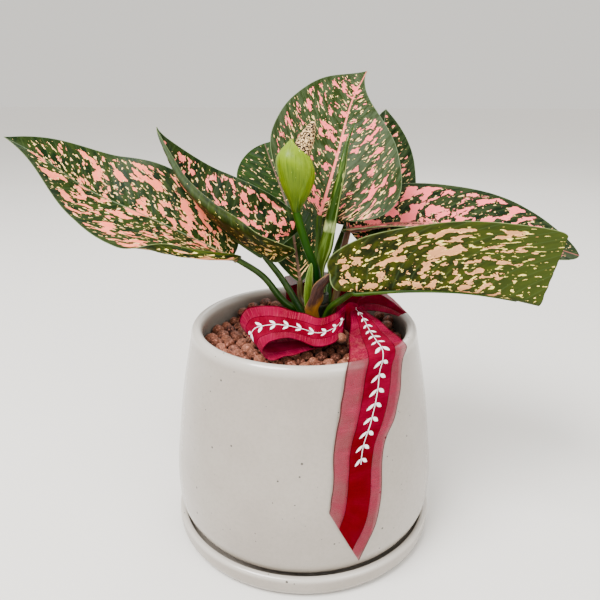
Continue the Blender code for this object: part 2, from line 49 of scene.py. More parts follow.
# Saucer, pot and bed
SAUCER_RADIUS = 82.0
SAUCER_HEIGHT = 13.0
SAUCER_WALL = 4.0
SAUCER_FLOOR = 5.0
POT_FOOT_RADIUS = 59.0
POT_RIM_RADIUS = 68.0
POT_HEIGHT = 134.8
POT_LIP = 4.3
POT_WALL = 6.6
POT_FOOT_Z = 5.3
POT_SIDE = [
    (POT_FOOT_Z, POT_FOOT_RADIUS), (POT_FOOT_Z + 1.5, 66.0), (13.0, 76.2), (21.5, 80.2), (33.0, 81.2),
    (48.0, 80.8), (64.0, 78.9), (86.0, 76.2), (107.0, 72.6), (122.0, 69.6),
    (POT_HEIGHT - POT_LIP, POT_RIM_RADIUS)]
BED_Z = 120.3
BED_MOUND = 1.4
BED_REACH = 60.0
PEBBLE_HEIGHT = 3.2
TURNED_SIDES = 160

# The pebbles: each layer's spacing and depth, their radii, how far they scatter, and the places and radii
# of loose ones
PEBBLE_LAYERS = ((8.1, 0.0), (8.4, 5.0))
PEBBLE_RADII = (3.5, 4.5)
PEBBLE_SCATTER = 1.4
LOOSE_PEBBLES = [
    (7.3, -22.5, 130.5, 3.6), (23.3, -18.0, 130.5, 3.8), (-31, 46, 127, 4.2), (-24, 44, 126.5, 3.8),
    (-39, 40, 126, 3.9), (-44, 32, 125.5, 3.8), (-32, 37.5, 126.3, 3.7), (52, 25, 126, 3.9),
    (51, 16.5, 126, 3.7), (46.5, 33, 126, 3.8)]
# The soil's outline: radius and height
SOIL = [(0.1, 115.0), (20, 115.4), (40, 115.0), (62.6, 114.6), (63.4, 107), (69, 64), (73, 28), (62.0, 13.9),
        (0.1, 12.6)]
SOIL_SIDES = 96

# Cane
STEM_X = 5.0
STEM_Y = 8.0
STEM_RADIUS = 6.0
STEM_FOOT_Z = 88.0
STEM_TOP = (10.0, 6.0, 150.0)
PETIOLE_RADIUS = 2.6
FOOT_Z = 131.0

# The new leaf, the bud's stalk, the spathe and the spadix
NEW_LEAF_PATH = [(11, 7.6, 150.4), (9.6, 8, 168), (12.4, 8.2, 182), (15.5, 7.5, 200), (20.3, 8.5, 223.8),
                 (23.5, 13, 240), (26.6, 16, 248.7)]
NEW_LEAF_RADII = [1.9, 1.8, 3.9, 3.6, 3.1, 2.7, 2.1, 1.2, 0.5]
BUD_STALK = [(7.6, 4.0, 150.35), (7.4, 0.4, 163), (0.6, -4, 185), (-4.2, -5, 202)]
SPATHE_FOOT = (-4.2, -5.0, 202.0)
SPATHE_RADII = [2.4, 4.5, 7.2, 9.3, 10.6, 10.4, 8.9]
SPATHE_OPEN_TOWARDS = 48.0
SPATHE_LOW, SPATHE_HIGH = 26.0, 40.0
SPADIX_PATH = [(-4.7, -5.6, 211.8), (-3.7, -5.3, 228), (2.3, -2.9, 244), (5.3, -1.2, 250.6)]
SPADIX_LENGTH = 42.0
SPADIX_RADII = [2.2, 4.6, 5.1, 5.1, 4.8, 3.7, 1.2]

# Blades: how fine their grids are, and how their lateral veins run
BLADE_THICKNESS = 0.5
TIP_WIDTH = 0.3
LEAF_ROWS, LEAF_COLS, BLADE_STEPS = 121, 34, 60
VEIN_STEP = 7.4
VEIN_RUN = 0.75
VEIN_BOW = 0.012

# The ribbon's cloth: its width, its satin part, its crimson, its threads and the printed row's step; its knot
CLOTH_WIDTH = 34.0
SATIN = (0.29, 0.75)
CRIMSON = "#8E0034"
THREAD = 0.42
PRINT_STEP = 7.6
KNOT = (28.5, 4.0, 136.0)
KNOT_RADII = (6.5, 8.0, 9.2)

# The light that falls on the object, against the light that shows white, and what a dark satin surface
# mirrors of it
LIGHT = 2.7
GLARE = 0.022
# The lamps' places, the heights they look at, their sizes and their powers; the room's light, and how far the
# floor reaches, in metres
LAMPS = {"key": ((-0.60, -0.70, 1.45), 0.14, 0.9, 68.0), "fill": ((1.0, -0.9, 0.8), 0.14, 1.1, 16.0),
         "back": ((0.2, 1.1, 1.2), 0.16, 1.0, 8.0)}
ROOM_LIGHT = 1.75
FLOOR_REACH = 8
CAMERA_SPOT = (0.0321, -0.3391, 0.2687)
CAMERA_YAW, CAMERA_PITCH = -0.10178, 0.34201
LENS = 36

# The leaves: where each stalk stands, its way up, the midrib, the half widths with their shapes, the facing,
# the rise of each half, the curl, the lean and the waves, as in the solids
LEAVES = {
    "leaf_left": dict(
        foot=170, petiole=[(-12, 6, 143), (-26, 6, 160)],
        midrib=[(-44, 5, 172), (-73, 1, 187), (-101, 0, 200), (-126, 0, 211), (-155, -5, 233),
                (-168.5, -10, 242)],
        halves=((34, 0.62, 0.85), (41, 0.5, 1.2)), face=[(0, -0.25, 1), (0, -0.35, 1)],
        right=(46, 36, 20), left=(30, -6, -14), curl=(10, 25), lean=(-0.45, 0, 1), waves=(1.0, 2)),
    "leaf_left_inner": dict(
        foot=210, petiole=[(-6, 4, 146), (-14, 5, 159)],
        midrib=[(-25, 3, 174.5), (-38, 2, 183), (-55, 5, 196), (-73, 10.5, 215.5), (-87.5, 12.5, 246.5)],
        halves=((37.5, 0.9, 1.5), (28, 0.4, 0.9)), face=[(0.1, 0.0, 1), (0.5, -0.3, 1)],
        right=(52, 52, 60), left=(58, 40, 38), curl=(6, 15), lean=(-1.1, 0, 1)),
    "leaf_back_left": dict(
        foot=133, petiole=[(-4, 18, 144)],
        midrib=[(-4.5, 20, 152), (-8, 27, 171), (-12.5, 38, 188), (-20, 52, 205), (-28, 66, 219),
                (-35, 79, 232)],
        halves=((30, 0.75, 0.5), (28, 0.8, 0.5)), face=[(0, -1, 0.6), (-0.1, -0.8, 1)],
        right=(15, 20, 10), left=(15, 15, 5)),
    "leaf_centre": dict(
        foot=88, petiole=[(6.5, 17.5, 150), (7, 16.5, 172)],
        midrib=[(7.5, 15.5, 195), (12, 21, 211), (17, 31, 230), (24, 53, 259), (33, 77, 278)],
        halves=((44, 0.5, 1.8), (42, 0.6, 0.98)), face=[(0.1, -1, 0.5), (0, -0.9, 0.7)],
        right=(18, 20, 10), left=(18, 15, 5), curl=(8, 12), waves=(1.4, 3)),
    "leaf_back_right": dict(
        foot=46, petiole=[(13.5, 20, 150), (17, 31, 168)],
        midrib=[(23, 45, 184), (35, 55, 204), (43, 63, 228), (46, 68, 255)],
        halves=((33, 0.5, 0.95), (24, 0.55, 0.9)), face=[(0.2, -0.8, 0.6), (0.3, -0.8, 0.5)],
        right=(6, 10, 30), left=(20, 20, 40), lean=(-0.6, 0, 1)),
    "leaf_right": dict(
        foot=4, petiole=[(19.5, 12, 152), (22, 20, 172)],
        midrib=[(25, 26, 186), (58, 29, 190), (95, 25, 189), (130, 16, 184), (158, 9, 177)],
        halves=((33, 0.5, 0.6), (33, 0.62, 0.62)), face=[(0, -0.3, 1), (0, -0.25, 1)],
        right=(35, 20, 0), left=(24, 24, 10), lean=(-0.75, 0, 1)),
    "leaf_front_right": dict(
        foot=-48, petiole=[(16.5, -4.5, 145), (22.5, -10, 152)],
        midrib=[(29.5, -15.2, 159.2), (60, -25, 165), (91, -30, 166), (113, -31, 163), (127, -31, 160)],
        halves=((42, 0.33, 0.02), (33, 0.3, 0.3)), face=[(0, 0.25, 1), (0, 0.15, 1)],
        right=(84, 80, 84), left=(58, 62, 66), lean=(-1.15, 0.05, 1.6), waves=(1.0, 3)),
}

# Where a near margin rolls up: where along the leaf it starts, is full, fades and ends, how far in, its turn
ROLLS = {"leaf_left": (-0.1, -0.05, 0.24, 0.46, 0.72, 150),
         "leaf_left_inner": (0.25, 0.50, 0.96, 1.0, 0.62, 130)}

# The look of each leaf: seed, the noise levels that its blotches begin at on each side and the one of its
# dots, where the plainer tip begins, the blotches' size across and along their run, that run's angle from
# the midrib in each half, the blotches' pink, their paler tint and their tint underneath, the greens of both
# sides, the midrib's colour and width, and the stalk's colours from foot to blade. Some under sides have
# their own size, run, plain part and tip.
COMMON_LOOK = dict(slant=(53, 53), under="#E7B893", under_size=1.0, under_tip="#5B6A34")
LOOKS = {
    "leaf_left": dict(
        seed=3, limit=0.55, limit_under=0.57, dots=0.605, plain=0.84, width=3.6, length=10.0,
        slant=(10, 24), under_slant=14,
        pink="#ECA88A", pale="#F1CEAC", under="#E7C49A", greens=("#2A3C10", "#46582E", "#2C3A00", "#5A6414"),
        rib="#8FA07C", rib_width=0.7, stalk=("#33520E", "#3A5212")),
    "leaf_left_inner": dict(
        seed=11, limit=0.56, limit_under=0.61, dots=0.62, plain=0.85, width=3.3, length=7.4, slant=(24, 24),
        under_size=0.6, under_slant=6, under_plain=0.12, under_tip="#66785C",
        pink="#EE9C96", pale="#F1C6B4", under="#E9DDA8", greens=("#28380E", "#40502C", "#303A00", "#4E5A10"),
        rib="#7F9477", rib_width=0.8, stalk=("#2B440E", "#34521A")),
    "leaf_back_left": dict(
        seed=23, limit=0.74, limit_under=0.66, dots=0.64, plain=0.85, width=4.0, length=7.0,
        pink="#D88C74", pale="#E6C09C", under="#E2C79A", greens=("#30440A", "#3E5A24", "#30440A", "#3E5A24"),
        rib="#9A7868", rib_width=1.0, stalk=("#5A4A2A", "#7A5A4A")),
    "leaf_centre": dict(
        seed=38, limit=0.585, limit_under=0.60, dots=0.62, plain=0.88, width=4.0, length=6.6,
        pink="#F0929C", pale="#F0BEB4", greens=("#3C4C24", "#5A6A4A", "#30440A", "#4E6A2C"),
        rib="#EBB0A8", rib_width=0.95, stalk=("#34600E", "#4C6E24")),
    "leaf_back_right": dict(
        seed=47, limit=0.60, limit_under=0.60, dots=0.63, plain=0.85, width=3.8, length=6.6,
        pink="#EE9C9C", pale="#F1C8B8", greens=("#2C3C14", "#4C5E3C", "#30440A", "#4E6A2C"),
        rib="#8FA07F", rib_width=0.8, stalk=("#34600E", "#3F5E1C")),
    "leaf_right": dict(
        seed=59, limit=0.525, limit_under=0.58, dots=0.63, plain=0.88, width=4.6, length=8.4, slant=(50, 50),
        pink="#F49CA4", pale="#F5BEB8", greens=("#2A3812", "#485636", "#30440A", "#4E6A2C"),
        rib="#D88C88", rib_width=1.0, stalk=("#5A4A24", "#A86860")),
    "leaf_front_right": dict(
        seed=62, limit=0.60, limit_under=0.575, dots=0.615, plain=0.84, width=3.6, length=7.2, slant=(20, 20),
        pink="#E9A08A", pale="#EFC9A6", under="#E0BE8C", greens=("#2A3C10", "#46582E", "#323800", "#565C0A"),
        rib="#7A8A40", rib_width=0.8, stalk=("#33520E", "#4A6A16")),
}


# ---------------------------------------------------------------- colours

def plain(code):
    """A linear colour from an sRGB code."""
    parts = [int(code[i:i + 2], 16) / 255 for i in (1, 3, 5)]
    return tuple(p / 12.92 if p <= 0.04045 else ((p + 0.055) / 1.055) ** 2.4 for p in parts) + (1.0,)


def rgb(code):
    """The base colour that shows as this sRGB code in this light, through the view's soft shoulder."""
    shown = [p * (1.07 - 0.07 * p) / (1 - 1.037 * p**2.557) for p in plain(code)[:3]]
    return tuple(min(0.9, max(p - GLARE, 0.0008) / LIGHT) for p in shown) + (1.0,)


# ---------------------------------------------------------------- curves and surfaces, as in the solids

def spread(values):
    """The values' places from 0 to 1 along the line through them."""
    steps = np.linalg.norm(np.diff(values, axis=0), axis=1)
    places = np.concatenate([[0.0], np.cumsum(steps)])
    return places / places[-1]


def smooth(values, t, places=None):
    """Points at t, from 0 to 1, on the smooth curve through the values."""
    values = np.asarray(values, float)
    if values.ndim == 1:
        values = values[:, None]
        places = np.linspace(0, 1, len(values)) if places is None else places
        return smooth(values, t, places)[:, 0]
    places = spread(values) if places is None else np.asarray(places)
    slopes = np.gradient(values, places, axis=0)
    t = np.clip(np.atleast_1d(t), 0, 1)
    i = np.clip(np.searchsorted(places, t, side="right") - 1, 0, len(places) - 2)
    width = (places[i + 1] - places[i])[:, None]
    s = (t[:, None] - places[i][:, None]) / width
    start = (2 * s**3 - 3 * s**2 + 1) * values[i] + (s**3 - 2 * s**2 + s) * width * slopes[i]
    end = (3 * s**2 - 2 * s**3) * values[i + 1] + (s**3 - s**2) * width * slopes[i + 1]
    return start + end


def unit(vectors):
    """The vectors at length 1."""
    return vectors / np.linalg.norm(vectors, axis=-1, keepdims=True)


def ease(x, low=0.0, high=1.0):
    """0 below low, 1 above high, and smooth between them."""
    x = np.clip((np.asarray(x, float) - low) / (high - low), 0, 1)
    return x * x * (3 - 2 * x)


def frames(path):
    """Side and up directions along a path, without twist."""
    forward = unit(np.gradient(path, axis=0))
    side = np.zeros_like(forward)
    hint = np.array([0.0, 1.0, 0.0]) if abs(forward[0][1]) < 0.9 else np.array([1.0, 0.0, 0.0])
    for i, ahead in enumerate(forward):
        hint = hint - ahead * hint.dot(ahead)
        side[i] = hint = hint / np.linalg.norm(hint)
    return side, np.cross(forward, side)


def full_turn(count):
    """Angles all round."""
    return np.linspace(0, 2 * math.pi, count, endpoint=False)


def ways_out(path, angles):
    """The directions away from a path, at each of its points and each angle."""
    side, up = frames(path)
    return np.cos(angles)[:, None] * side[:, None] + np.sin(angles)[:, None] * up[:, None]


def ring(radius, z, sides):
    """A level circle of points."""
    angles = full_turn(sides)
    return np.stack([radius * np.cos(angles), radius * np.sin(angles), np.full(sides, float(z))], axis=1)


def arc(x, z, width, height, start, end, count):
    """Points of an outline on an arc round a middle."""
    return [(x + width * math.cos(a), z + height * math.sin(a)) for a in np.linspace(start, end, count)]


def net(across, along):
    """The UV values of a grid: one number across it and one along it."""
    return np.stack([np.tile(across, len(along)), np.repeat(along, len(across))], axis=1)


def grid_faces(rows, cols, closed=False, flip=False):
    """The faces of a grid of points, closed round its columns where asked."""
    faces = []
    for i in range(rows - 1):
        for j in range(cols if closed else cols - 1):
            k = (j + 1) % cols
            face = (i * cols + j, i * cols + k, (i + 1) * cols + k, (i + 1) * cols + j)
            faces.append(face[::-1] if flip else face)
    return faces


def tube(points, maps, number=0):
    """A part made of rings of points and filled at both ends."""
    rows, sides = points.shape[:2]
    ends = [tuple(range(sides))[::-1], tuple(range((rows - 1) * sides, rows * sides))]
    return points.reshape(-1, 3), grid_faces(rows, sides, closed=True) + ends, number, maps


def cane_axis(z):
    """The middle of the cane at a height."""
    lean = np.clip((z - 126.0) / (STEM_TOP[2] - 126.0), 0, 1)
    return np.array([STEM_X + (STEM_TOP[0] - STEM_X) * lean, STEM_Y + (STEM_TOP[1] - STEM_Y) * lean, z])


def foot_point(degrees, z=FOOT_Z):
    """Where a stalk stands against the cane."""
    reach = STEM_RADIUS + PETIOLE_RADIUS + 0.45
    angle = math.radians(degrees)
    return cane_axis(z) + reach * np.array([math.cos(angle), math.sin(angle), 0])


def pot_radius(z):
    """The outer radius of the pot at a height."""
    heights, radii = zip(*POT_SIDE)
    return float(np.interp(z, heights, radii))


def on_pot(degrees, z, off=1.1):
    """A point off the pot's outer side."""
    radius = pot_radius(z) + off
    return radius * math.cos(math.radians(degrees)), radius * math.sin(math.radians(degrees)), z


# The ribbon's strips: stations of one edge, the other edge and the bulge between them
RIBBON_LOOP = [
    ((24, -17, 133), (26, 4, 145), 1), ((18.5, -27.5, 131.5), (18, -6, 142), 1),
    ((8.5, -31.5, 131.5), (9.5, -12.3, 141), 1), ((0.5, -31, 134), (1.5, -11, 143), 1.5),
    ((-6, -34.5, 137), (-7, -8, 144), 2), ((-12.5, -38.5, 137), (-16, -6, 145.5), 2),
    ((-16.5, -42, 136), (-27.5, -5.5, 145), 2), ((-19, -42.5, 132.5), (-35, -6, 142.5), 1),
    ((-18.5, -42.5, 128.5), (-38, -9, 136), 0), ((-14.5, -42, 126.5), (-34, -11, 129), 0),
    ((-7, -37.5, 126.5), (-22, -12, 126.6), 0), ((2.5, -30, 126.5), (-5, -9, 127), 0),
    ((14, -22, 127), (10, -6, 127.6), 0), ((26, -12, 129), (24, 4, 130), 0)]
RIBBON_TAIL_FRONT = [
    ((27, 4, 143), (31, 4, 144), 0), ((28.5, -12, 139), (42, -8, 141.5), 1),
    ((28, -32, 137), (50.5, -21.5, 139), 1.5),
    ((28.5, -50.5, 137.5), (56.5, -31, 138), 2), ((28.3, -60, 137), (59.5, -37, 136), 3),
    (on_pot(-67.3, 128), on_pot(-34, 130), 3.4), (on_pot(-69, 118), on_pot(-37, 119), 3.4),
    (on_pot(-71.5, 103), on_pot(-43, 102), 2.6), (on_pot(-73.2, 89), on_pot(-49.5, 91), 1.9),
    (on_pot(-73.4, 75), on_pot(-52, 78), 1.6), (on_pot(-74.2, 65), on_pot(-53, 60), 1.7),
    (on_pot(-74.6, 60), on_pot(-56.6, 40), 1.8), (on_pot(-75, 56), on_pot(-62.5, 21), 1.6)]
RIBBON_TAIL_SIDE = [
    ((30, 3, 141), (33, 14, 145), 0), ((40, 4, 140.5), (44.5, 26, 147), 1),
    ((50, 4, 139), (54, 22, 142.5), 1), ((57, 3, 138), (63, 11, 137.2), 0.5)]
RIBBON_BACK = [
    ((30, 8, 132), (32, 10, 143), 0), ((30, 24, 127.5), (34, 25, 150), 1),
    ((18, 33, 126.8), (19, 36, 153), 1), ((2, 33, 126.6), (2, 36, 155), 1),
    ((-13, 22, 126.6), (-15, 26, 154), 0)]


# ---------------------------------------------------------------- materials

class Shading:
    """The node tree of one material."""

    def __init__(self, name):
        self.material = bpy.data.materials.new(name)
        self.material.use_nodes = True
        self.tree = self.material.node_tree
        self.shader = self.tree.nodes["Principled BSDF"]

    def node(self, kind, inputs=(), **settings):
        """A node with its settings, and values or links on its inputs."""
        made = self.tree.nodes.new("ShaderNode" + kind)
        for key, value in settings.items():
            setattr(made, key, value)
        for key, value in dict(inputs).items():
            self.plug(made.inputs[key], value)
        return made

    def plug(self, socket, value):
        """A value, a colour's code or a link on a socket."""
        if isinstance(value, bpy.types.NodeSocket):
            self.tree.links.new(value, socket)
        else:
            socket.default_value = rgb(value) if isinstance(value, str) else value

    def math(self, operation, a, b=0.0, c=0.0):
        """One sum on numbers."""
        return self.node("Math", {0: a, 1: b, 2: c}, operation=operation).outputs[0]

    def add(self, a, b):
        return self.math("ADD", a, b)

    def mul(self, a, b):
        return self.math("MULTIPLY", a, b)

    def mul_add(self, a, b, c):
        return self.math("MULTIPLY_ADD", a, b, c)

    def sub(self, a, b):
        return self.math("SUBTRACT", a, b)

    def size(self, a):
        return self.math("ABSOLUTE", a)

    def step(self, value, low, high, start=0.0, end=1.0):
        """Smoothly from start at low to end at high."""
        inputs = {0: value, 1: low, 2: high, 3: start, 4: end}
        return self.node("MapRange", inputs, interpolation_type="SMOOTHSTEP").outputs[0]

    def mix(self, factor, a, b, blend="MIX"):
        """One colour over the other."""
        made = self.node("Mix", {0: factor}, data_type="RGBA", blend_type=blend)
        self.plug(made.inputs[6], a)
        self.plug(made.inputs[7], b)
        return made.outputs[2]

    def mix_number(self, factor, a, b):
        """One number over the other."""
        return self.node("Mix", {0: factor, 2: a, 3: b}, data_type="FLOAT").outputs[0]

    def over(self, colour, other, value, *edges):
        """A colour with another over it where a number steps up."""
        return self.mix(self.step(value, *edges), colour, other)

    def vector(self, x, y, z=0.0):
        """A vector of three numbers."""
        return self.node("CombineXYZ", {0: x, 1: y, 2: z}).outputs[0]

    def uv(self, name):
        """The two numbers that a UV map holds."""
        made = self.node("UVMap", uv_map=name)
        split = self.node("SeparateXYZ", {0: made.outputs[0]})
        return split.outputs[0], split.outputs[1]

    def place(self):
        """The place on the object, in millimetres."""
        inputs = {0: self.node("TexCoord").outputs["Object"], "Scale": 1 / MM}
        return self.node("VectorMath", inputs, operation="SCALE").outputs[0]

    def noise(self, vector, scale=1.0, detail=2.0, roughness=0.5, distortion=0.0):
        """Noise from 0 to 1."""
        inputs = {"Vector": vector, "Scale": scale, "Detail": detail, "Roughness": roughness,
                  "Distortion": distortion}
        return self.node("TexNoise", inputs).outputs[0]

    def noise_on(self, a, a_scale, b, b_scale, seed, **settings):
        """Noise over two numbers, each with its own scale."""
        return self.noise(self.vector(self.mul(a, a_scale), self.mul(b, b_scale), seed), **settings)

    def cells(self, vector, scale):
        """A Voronoi node."""
        return self.node("TexVoronoi", {"Vector": vector, "Scale": scale})

    def bump(self, height, millimetres):
        """Relief of that height."""
        relief = self.node("Bump", {"Height": height, "Distance": millimetres * MM, "Strength": 1.0})
        self.plug(self.shader.inputs["Normal"], relief.outputs[0])

    def finish(self, colour, roughness, **constants):
        """The colour, the roughness and the shader's fixed values."""
        self.plug(self.shader.inputs["Base Color"], colour)
        self.plug(self.shader.inputs["Roughness"], roughness)
        for key, value in constants.items():
            self.shader.inputs[key.replace("_", " ")].default_value = value
        return self.material


def leaf_skin(name, look, under):
    """One side of a leaf: green, with crisp blotches drawn out along the lateral veins."""
    sh = Shading(name)
    seed = float(look["seed"])
    s, d = sh.uv("veins")
    margin, t = sh.uv("edge")
    right = sh.math("GREATER_THAN", d, 0.0)
    side = sh.mul_add(right, 40.0, seed)
    away = sh.size(d)
    runs = [math.radians(degrees) for degrees in look["slant"]]
    if under:
        runs = [math.radians(look.get("under_slant", look["slant"][0]))] * 2
    q_ways = [sh.mul_add(away, VEIN_RUN * math.sin(a) - math.cos(a), sh.mul(s, math.sin(a))) for a in runs]
    p_ways = [sh.mul_add(away, VEIN_RUN * math.cos(a) + math.sin(a), sh.mul(s, math.cos(a))) for a in runs]
    q, p = sh.mix_number(right, *q_ways), sh.mix_number(right, *p_ways)
    sway = sh.noise_on(q, 0.14, p, 0.09, side, detail=1)
    size = look["under_size"] if under else 1.0
    across = sh.mul_add(q, 1 / (size * look["width"]), sh.mul(sway, 1.2))
    along = sh.mul_add(p, 1 / (size * look["length"]), sh.mul(sway, 0.5))
    shapes = sh.noise(sh.vector(across, along, side), detail=3, roughness=0.55)
    crowd = sh.noise_on(s, 0.075, d, 0.05, seed + 50, detail=1)
    bare = sh.add(sh.step(margin, 1.0, 4.2, 0.30, 0.0), sh.step(t, look["plain"], 1.0, 0.0, 0.16))
    if under and "under_plain" in look:
        bare = sh.add(bare, sh.step(t, look["under_plain"], look["under_plain"] + 0.2, 0.0, 0.12))
    level = look["limit_under" if under else "limit"]
    limit = sh.add(bare, sh.step(crowd, 0.30, 0.70, level + 0.06, level - 0.06))
    depth = sh.sub(shapes, limit)
    blotch = sh.step(depth, -0.004, 0.008)

    fine = sh.vector(sh.mul_add(q, 0.72, sway), sh.mul(p, 0.30), sh.add(side, 7.0))
    dots = sh.noise(fine, detail=2, roughness=0.5)
    dot_limit = sh.mul_add(bare, 0.30, look["dots"])
    dot = sh.step(sh.sub(dots, dot_limit), 0.0, 0.018)
    lines = sh.noise_on(s, 0.80, d, 0.09, seed + 13, detail=1)
    line_limit = sh.step(t, 0.05, 0.24, 0.70 if under else 0.58, 0.85)
    line_limit = sh.add(line_limit, sh.step(margin, 0.6, 3.0, 0.2, 0.0))
    line = sh.step(sh.sub(lines, line_limit), 0.0, 0.02)

    tint = sh.noise_on(s, 0.20, d, 0.14, seed + 31, detail=3, roughness=0.6)
    if under:
        green = sh.over(look["greens"][2], look["greens"][3], tint, 0.35, 0.65)
        green = sh.mix(sh.step(t, 0.35, 1.0, 0.0, 0.75), green, look["under_tip"])
        inner, outer, small = look["under"], "#EBD8A8", "#EFE6AE"
    else:
        green = sh.over(look["greens"][0], look["greens"][1], tint, 0.35, 0.65)
        inner, outer, small = look["pink"], look["pale"], "#F0E2BC"
    ribs = sh.math("PINGPONG", s, VEIN_STEP / 2)
    green = sh.over(green, "#6E8A5C", ribs, 0.0, 0.7, 0.20, 0.0)
    rim = sh.sub(sh.step(depth, -0.035, -0.004), blotch)
    green = sh.mix(sh.mul(rim, 0.6), green, "#16280A")

    patch = sh.over(outer, inner, depth, 0.004, 0.035)
    patch = sh.over(patch, outer, tint, 0.48, 0.75, 0.0, 0.45)
    flecks = sh.noise_on(s, 1.1, d, 0.7, seed + 3, detail=1)
    patch = sh.over(patch, green, flecks, 0.70, 0.73, 0.0, 0.7)
    colour = sh.mix(sh.mul(dot, 0.9), green, small)
    colour = sh.mix(line, colour, sh.over(small, outer, tint, 0.4, 0.6))
    colour = sh.mix(blotch, colour, patch)
    reach = sh.mul_add(t, -0.75 * look["rib_width"], look["rib_width"])
    rib = sh.sub(1.0, sh.step(sh.sub(sh.size(d), reach), -0.25, 0.2))
    colour = sh.mix(sh.mul(rib, 0.85), colour, look["rib"])
    colour = sh.mix(sh.step(margin, 0.1, 0.5, 0.8, 0.0), colour, "#A9B57C" if under else "#8FA27C")

    grain = sh.noise_on(s, 1.6, d, 1.6, seed, detail=3, roughness=0.7)
    sheen = sh.add(sh.step(grain, 0.3, 0.7, 0.38, 0.50), sh.mul(blotch, 0.06))
    sh.bump(sh.add(sh.mul(grain, 0.35), sh.mul(blotch, 0.12)), 0.16)
    return sh.finish(colour, sh.add(sheen, 0.12 if under else 0.0), Specular_IOR_Level=0.08)


def stalk_skin(name, foot, top):
    """A leaf's stalk: two greens or a pink one, streaked along its length."""
    sh = Shading(name)
    around, t = sh.uv("edge")
    streak = sh.noise_on(around, 3.0, t, 5.0, 2.0, detail=3, roughness=0.6)
    colour = sh.over(foot, top, t, 0.0, 0.45)
    colour = sh.over(colour, "#86A048", streak, 0.42, 0.70, 0.0, 0.5)
    colour = sh.over(colour, "#1C3406", streak, 0.50, 0.25, 0.0, 0.6)
    sh.bump(streak, 0.25)
    return sh.finish(colour, sh.step(streak, 0.3, 0.7, 0.32, 0.48), Specular_IOR_Level=0.2)


def glaze():
    """Pale warm-grey glaze with fine dark specks, over a slightly uneven wall."""
    sh = Shading("pale_glaze")
    place = sh.place()
    cloud = sh.noise(place, 0.022, 3, 0.55)
    colour = sh.mix(sh.step(cloud, 0.3, 0.7), plain("#8D847A"), plain("#968E84"))
    fine = sh.noise(place, 0.5, 3, 0.6)
    colour = sh.mix(sh.step(fine, 0.35, 0.75, 0.0, 0.25), colour, plain("#7C7669"))
    height = sh.node("SeparateXYZ", {0: place}).outputs[2]
    # Painted highlight: the pot's rim and the top of the saucer's rim are lighter, as where light from above
    # falls on them
    below = sh.step(height, SAUCER_HEIGHT + 0.1, SAUCER_HEIGHT + 0.4, 1.0, 0.0)
    saucer_rim_highlight = sh.mul(sh.step(height, SAUCER_HEIGHT - 3.5, SAUCER_HEIGHT - 0.6), below)
    rim_highlights = sh.add(sh.step(height, POT_HEIGHT - 6.8, POT_HEIGHT - 1.8), saucer_rim_highlight)
    colour = sh.mix(sh.mul(rim_highlights, 0.8), colour, plain("#B4AEA5"))
    crowd = sh.noise(place, 0.03, 1)
    for scale, radius, rarity in ((0.16, 0.13, 0.66), (0.33, 0.14, 0.78)):
        cell = sh.cells(place, scale)
        pick = sh.node("SeparateColor", {0: cell.outputs["Color"]}).outputs
        chosen = sh.math("GREATER_THAN", pick[0], sh.step(crowd, 0.35, 0.7, rarity + 0.1, rarity - 0.1))
        size = sh.mul(pick[1], radius)
        inside = sh.step(sh.sub(cell.outputs["Distance"], size), -0.01, 0.02, 1.0, 0.0)
        colour = sh.mix(sh.mul(sh.mul(inside, chosen), 0.9), colour, plain("#2A241C"))
    sh.bump(sh.add(sh.noise(place, 0.028, 2), sh.mul(fine, 0.03)), 1.1)
    return sh.finish(colour, sh.step(fine, 0.3, 0.7, 0.16, 0.26), Coat_Weight=0.35, Coat_Roughness=0.08)


def bare_clay():
    """Unglazed clay of the undersides."""
    sh = Shading("bare_clay")
    place = sh.place()
    grain = sh.noise(place, 0.9, 4, 0.65)
    colour = sh.over("#B4A48E", "#CDBFA9", grain, 0.3, 0.7)
    sh.bump(grain, 0.15)
    return sh.finish(colour, sh.step(grain, 0.3, 0.7, 0.75, 0.9))


def pebble_clay():
    """Fired clay pebbles, each a little different, dusty and pitted."""
    sh = Shading("pebble_clay")
    tone, shade = sh.uv("edge")
    place = sh.place()
    grain = sh.noise(place, 0.62, 4, 0.7, 0.8)
    pits = sh.cells(place, 0.9)
    colour = sh.mix(tone, "#7C4430", "#B87A5C")
    colour = sh.mix(sh.mul(sh.step(shade, 0.7, 1.0), 0.6), colour, "#4A2618")
    colour = sh.over(colour, "#E4BEA8", grain, 0.48, 0.68, 0.0, 0.75)
    colour = sh.over(colour, "#381608", grain, 0.45, 0.34, 0.0, 0.8)
    # Painted shade: each pebble is darker towards its lower side, where shade falls between the pebbles
    level, _ = sh.uv("veins")
    colour = sh.over(colour, "#2A1006", level, 0.45, -0.35, 0.0, 0.9)
    sh.bump(sh.add(grain, sh.step(pits.outputs["Distance"], 0.0, 0.5, 0.0, 0.6)), 0.7)
    return sh.finish(colour, sh.step(grain, 0.35, 0.7, 0.42, 0.75), Specular_IOR_Level=0.25)


def dark_soil():
    """The dark soil under the pebbles."""
    sh = Shading("dark_soil")
    grain = sh.noise(sh.place(), 0.6, 4, 0.7)
    colour = sh.mix(grain, "#120B07", "#352015")
    sh.bump(grain, 1.2)
    return sh.finish(colour, 0.95)


def cane_skin():
    """The cane: green with ringed scars."""
    sh = Shading("cane_skin")
    place = sh.place()
    grain = sh.noise(place, 0.5, 3, 0.6)
    _, height = sh.uv("edge")
    scar = sh.math("PINGPONG", height, 3.6)
    colour = sh.over("#1E2E0C", "#3E4E1C", grain, 0.35, 0.7)
    colour = sh.over(colour, "#6A5028", scar, 0.0, 0.7, 0.8, 0.0)
    sh.bump(sh.add(grain, sh.step(scar, 0.0, 0.9)), 0.3)
    return sh.finish(colour, sh.step(grain, 0.3, 0.7, 0.45, 0.65))


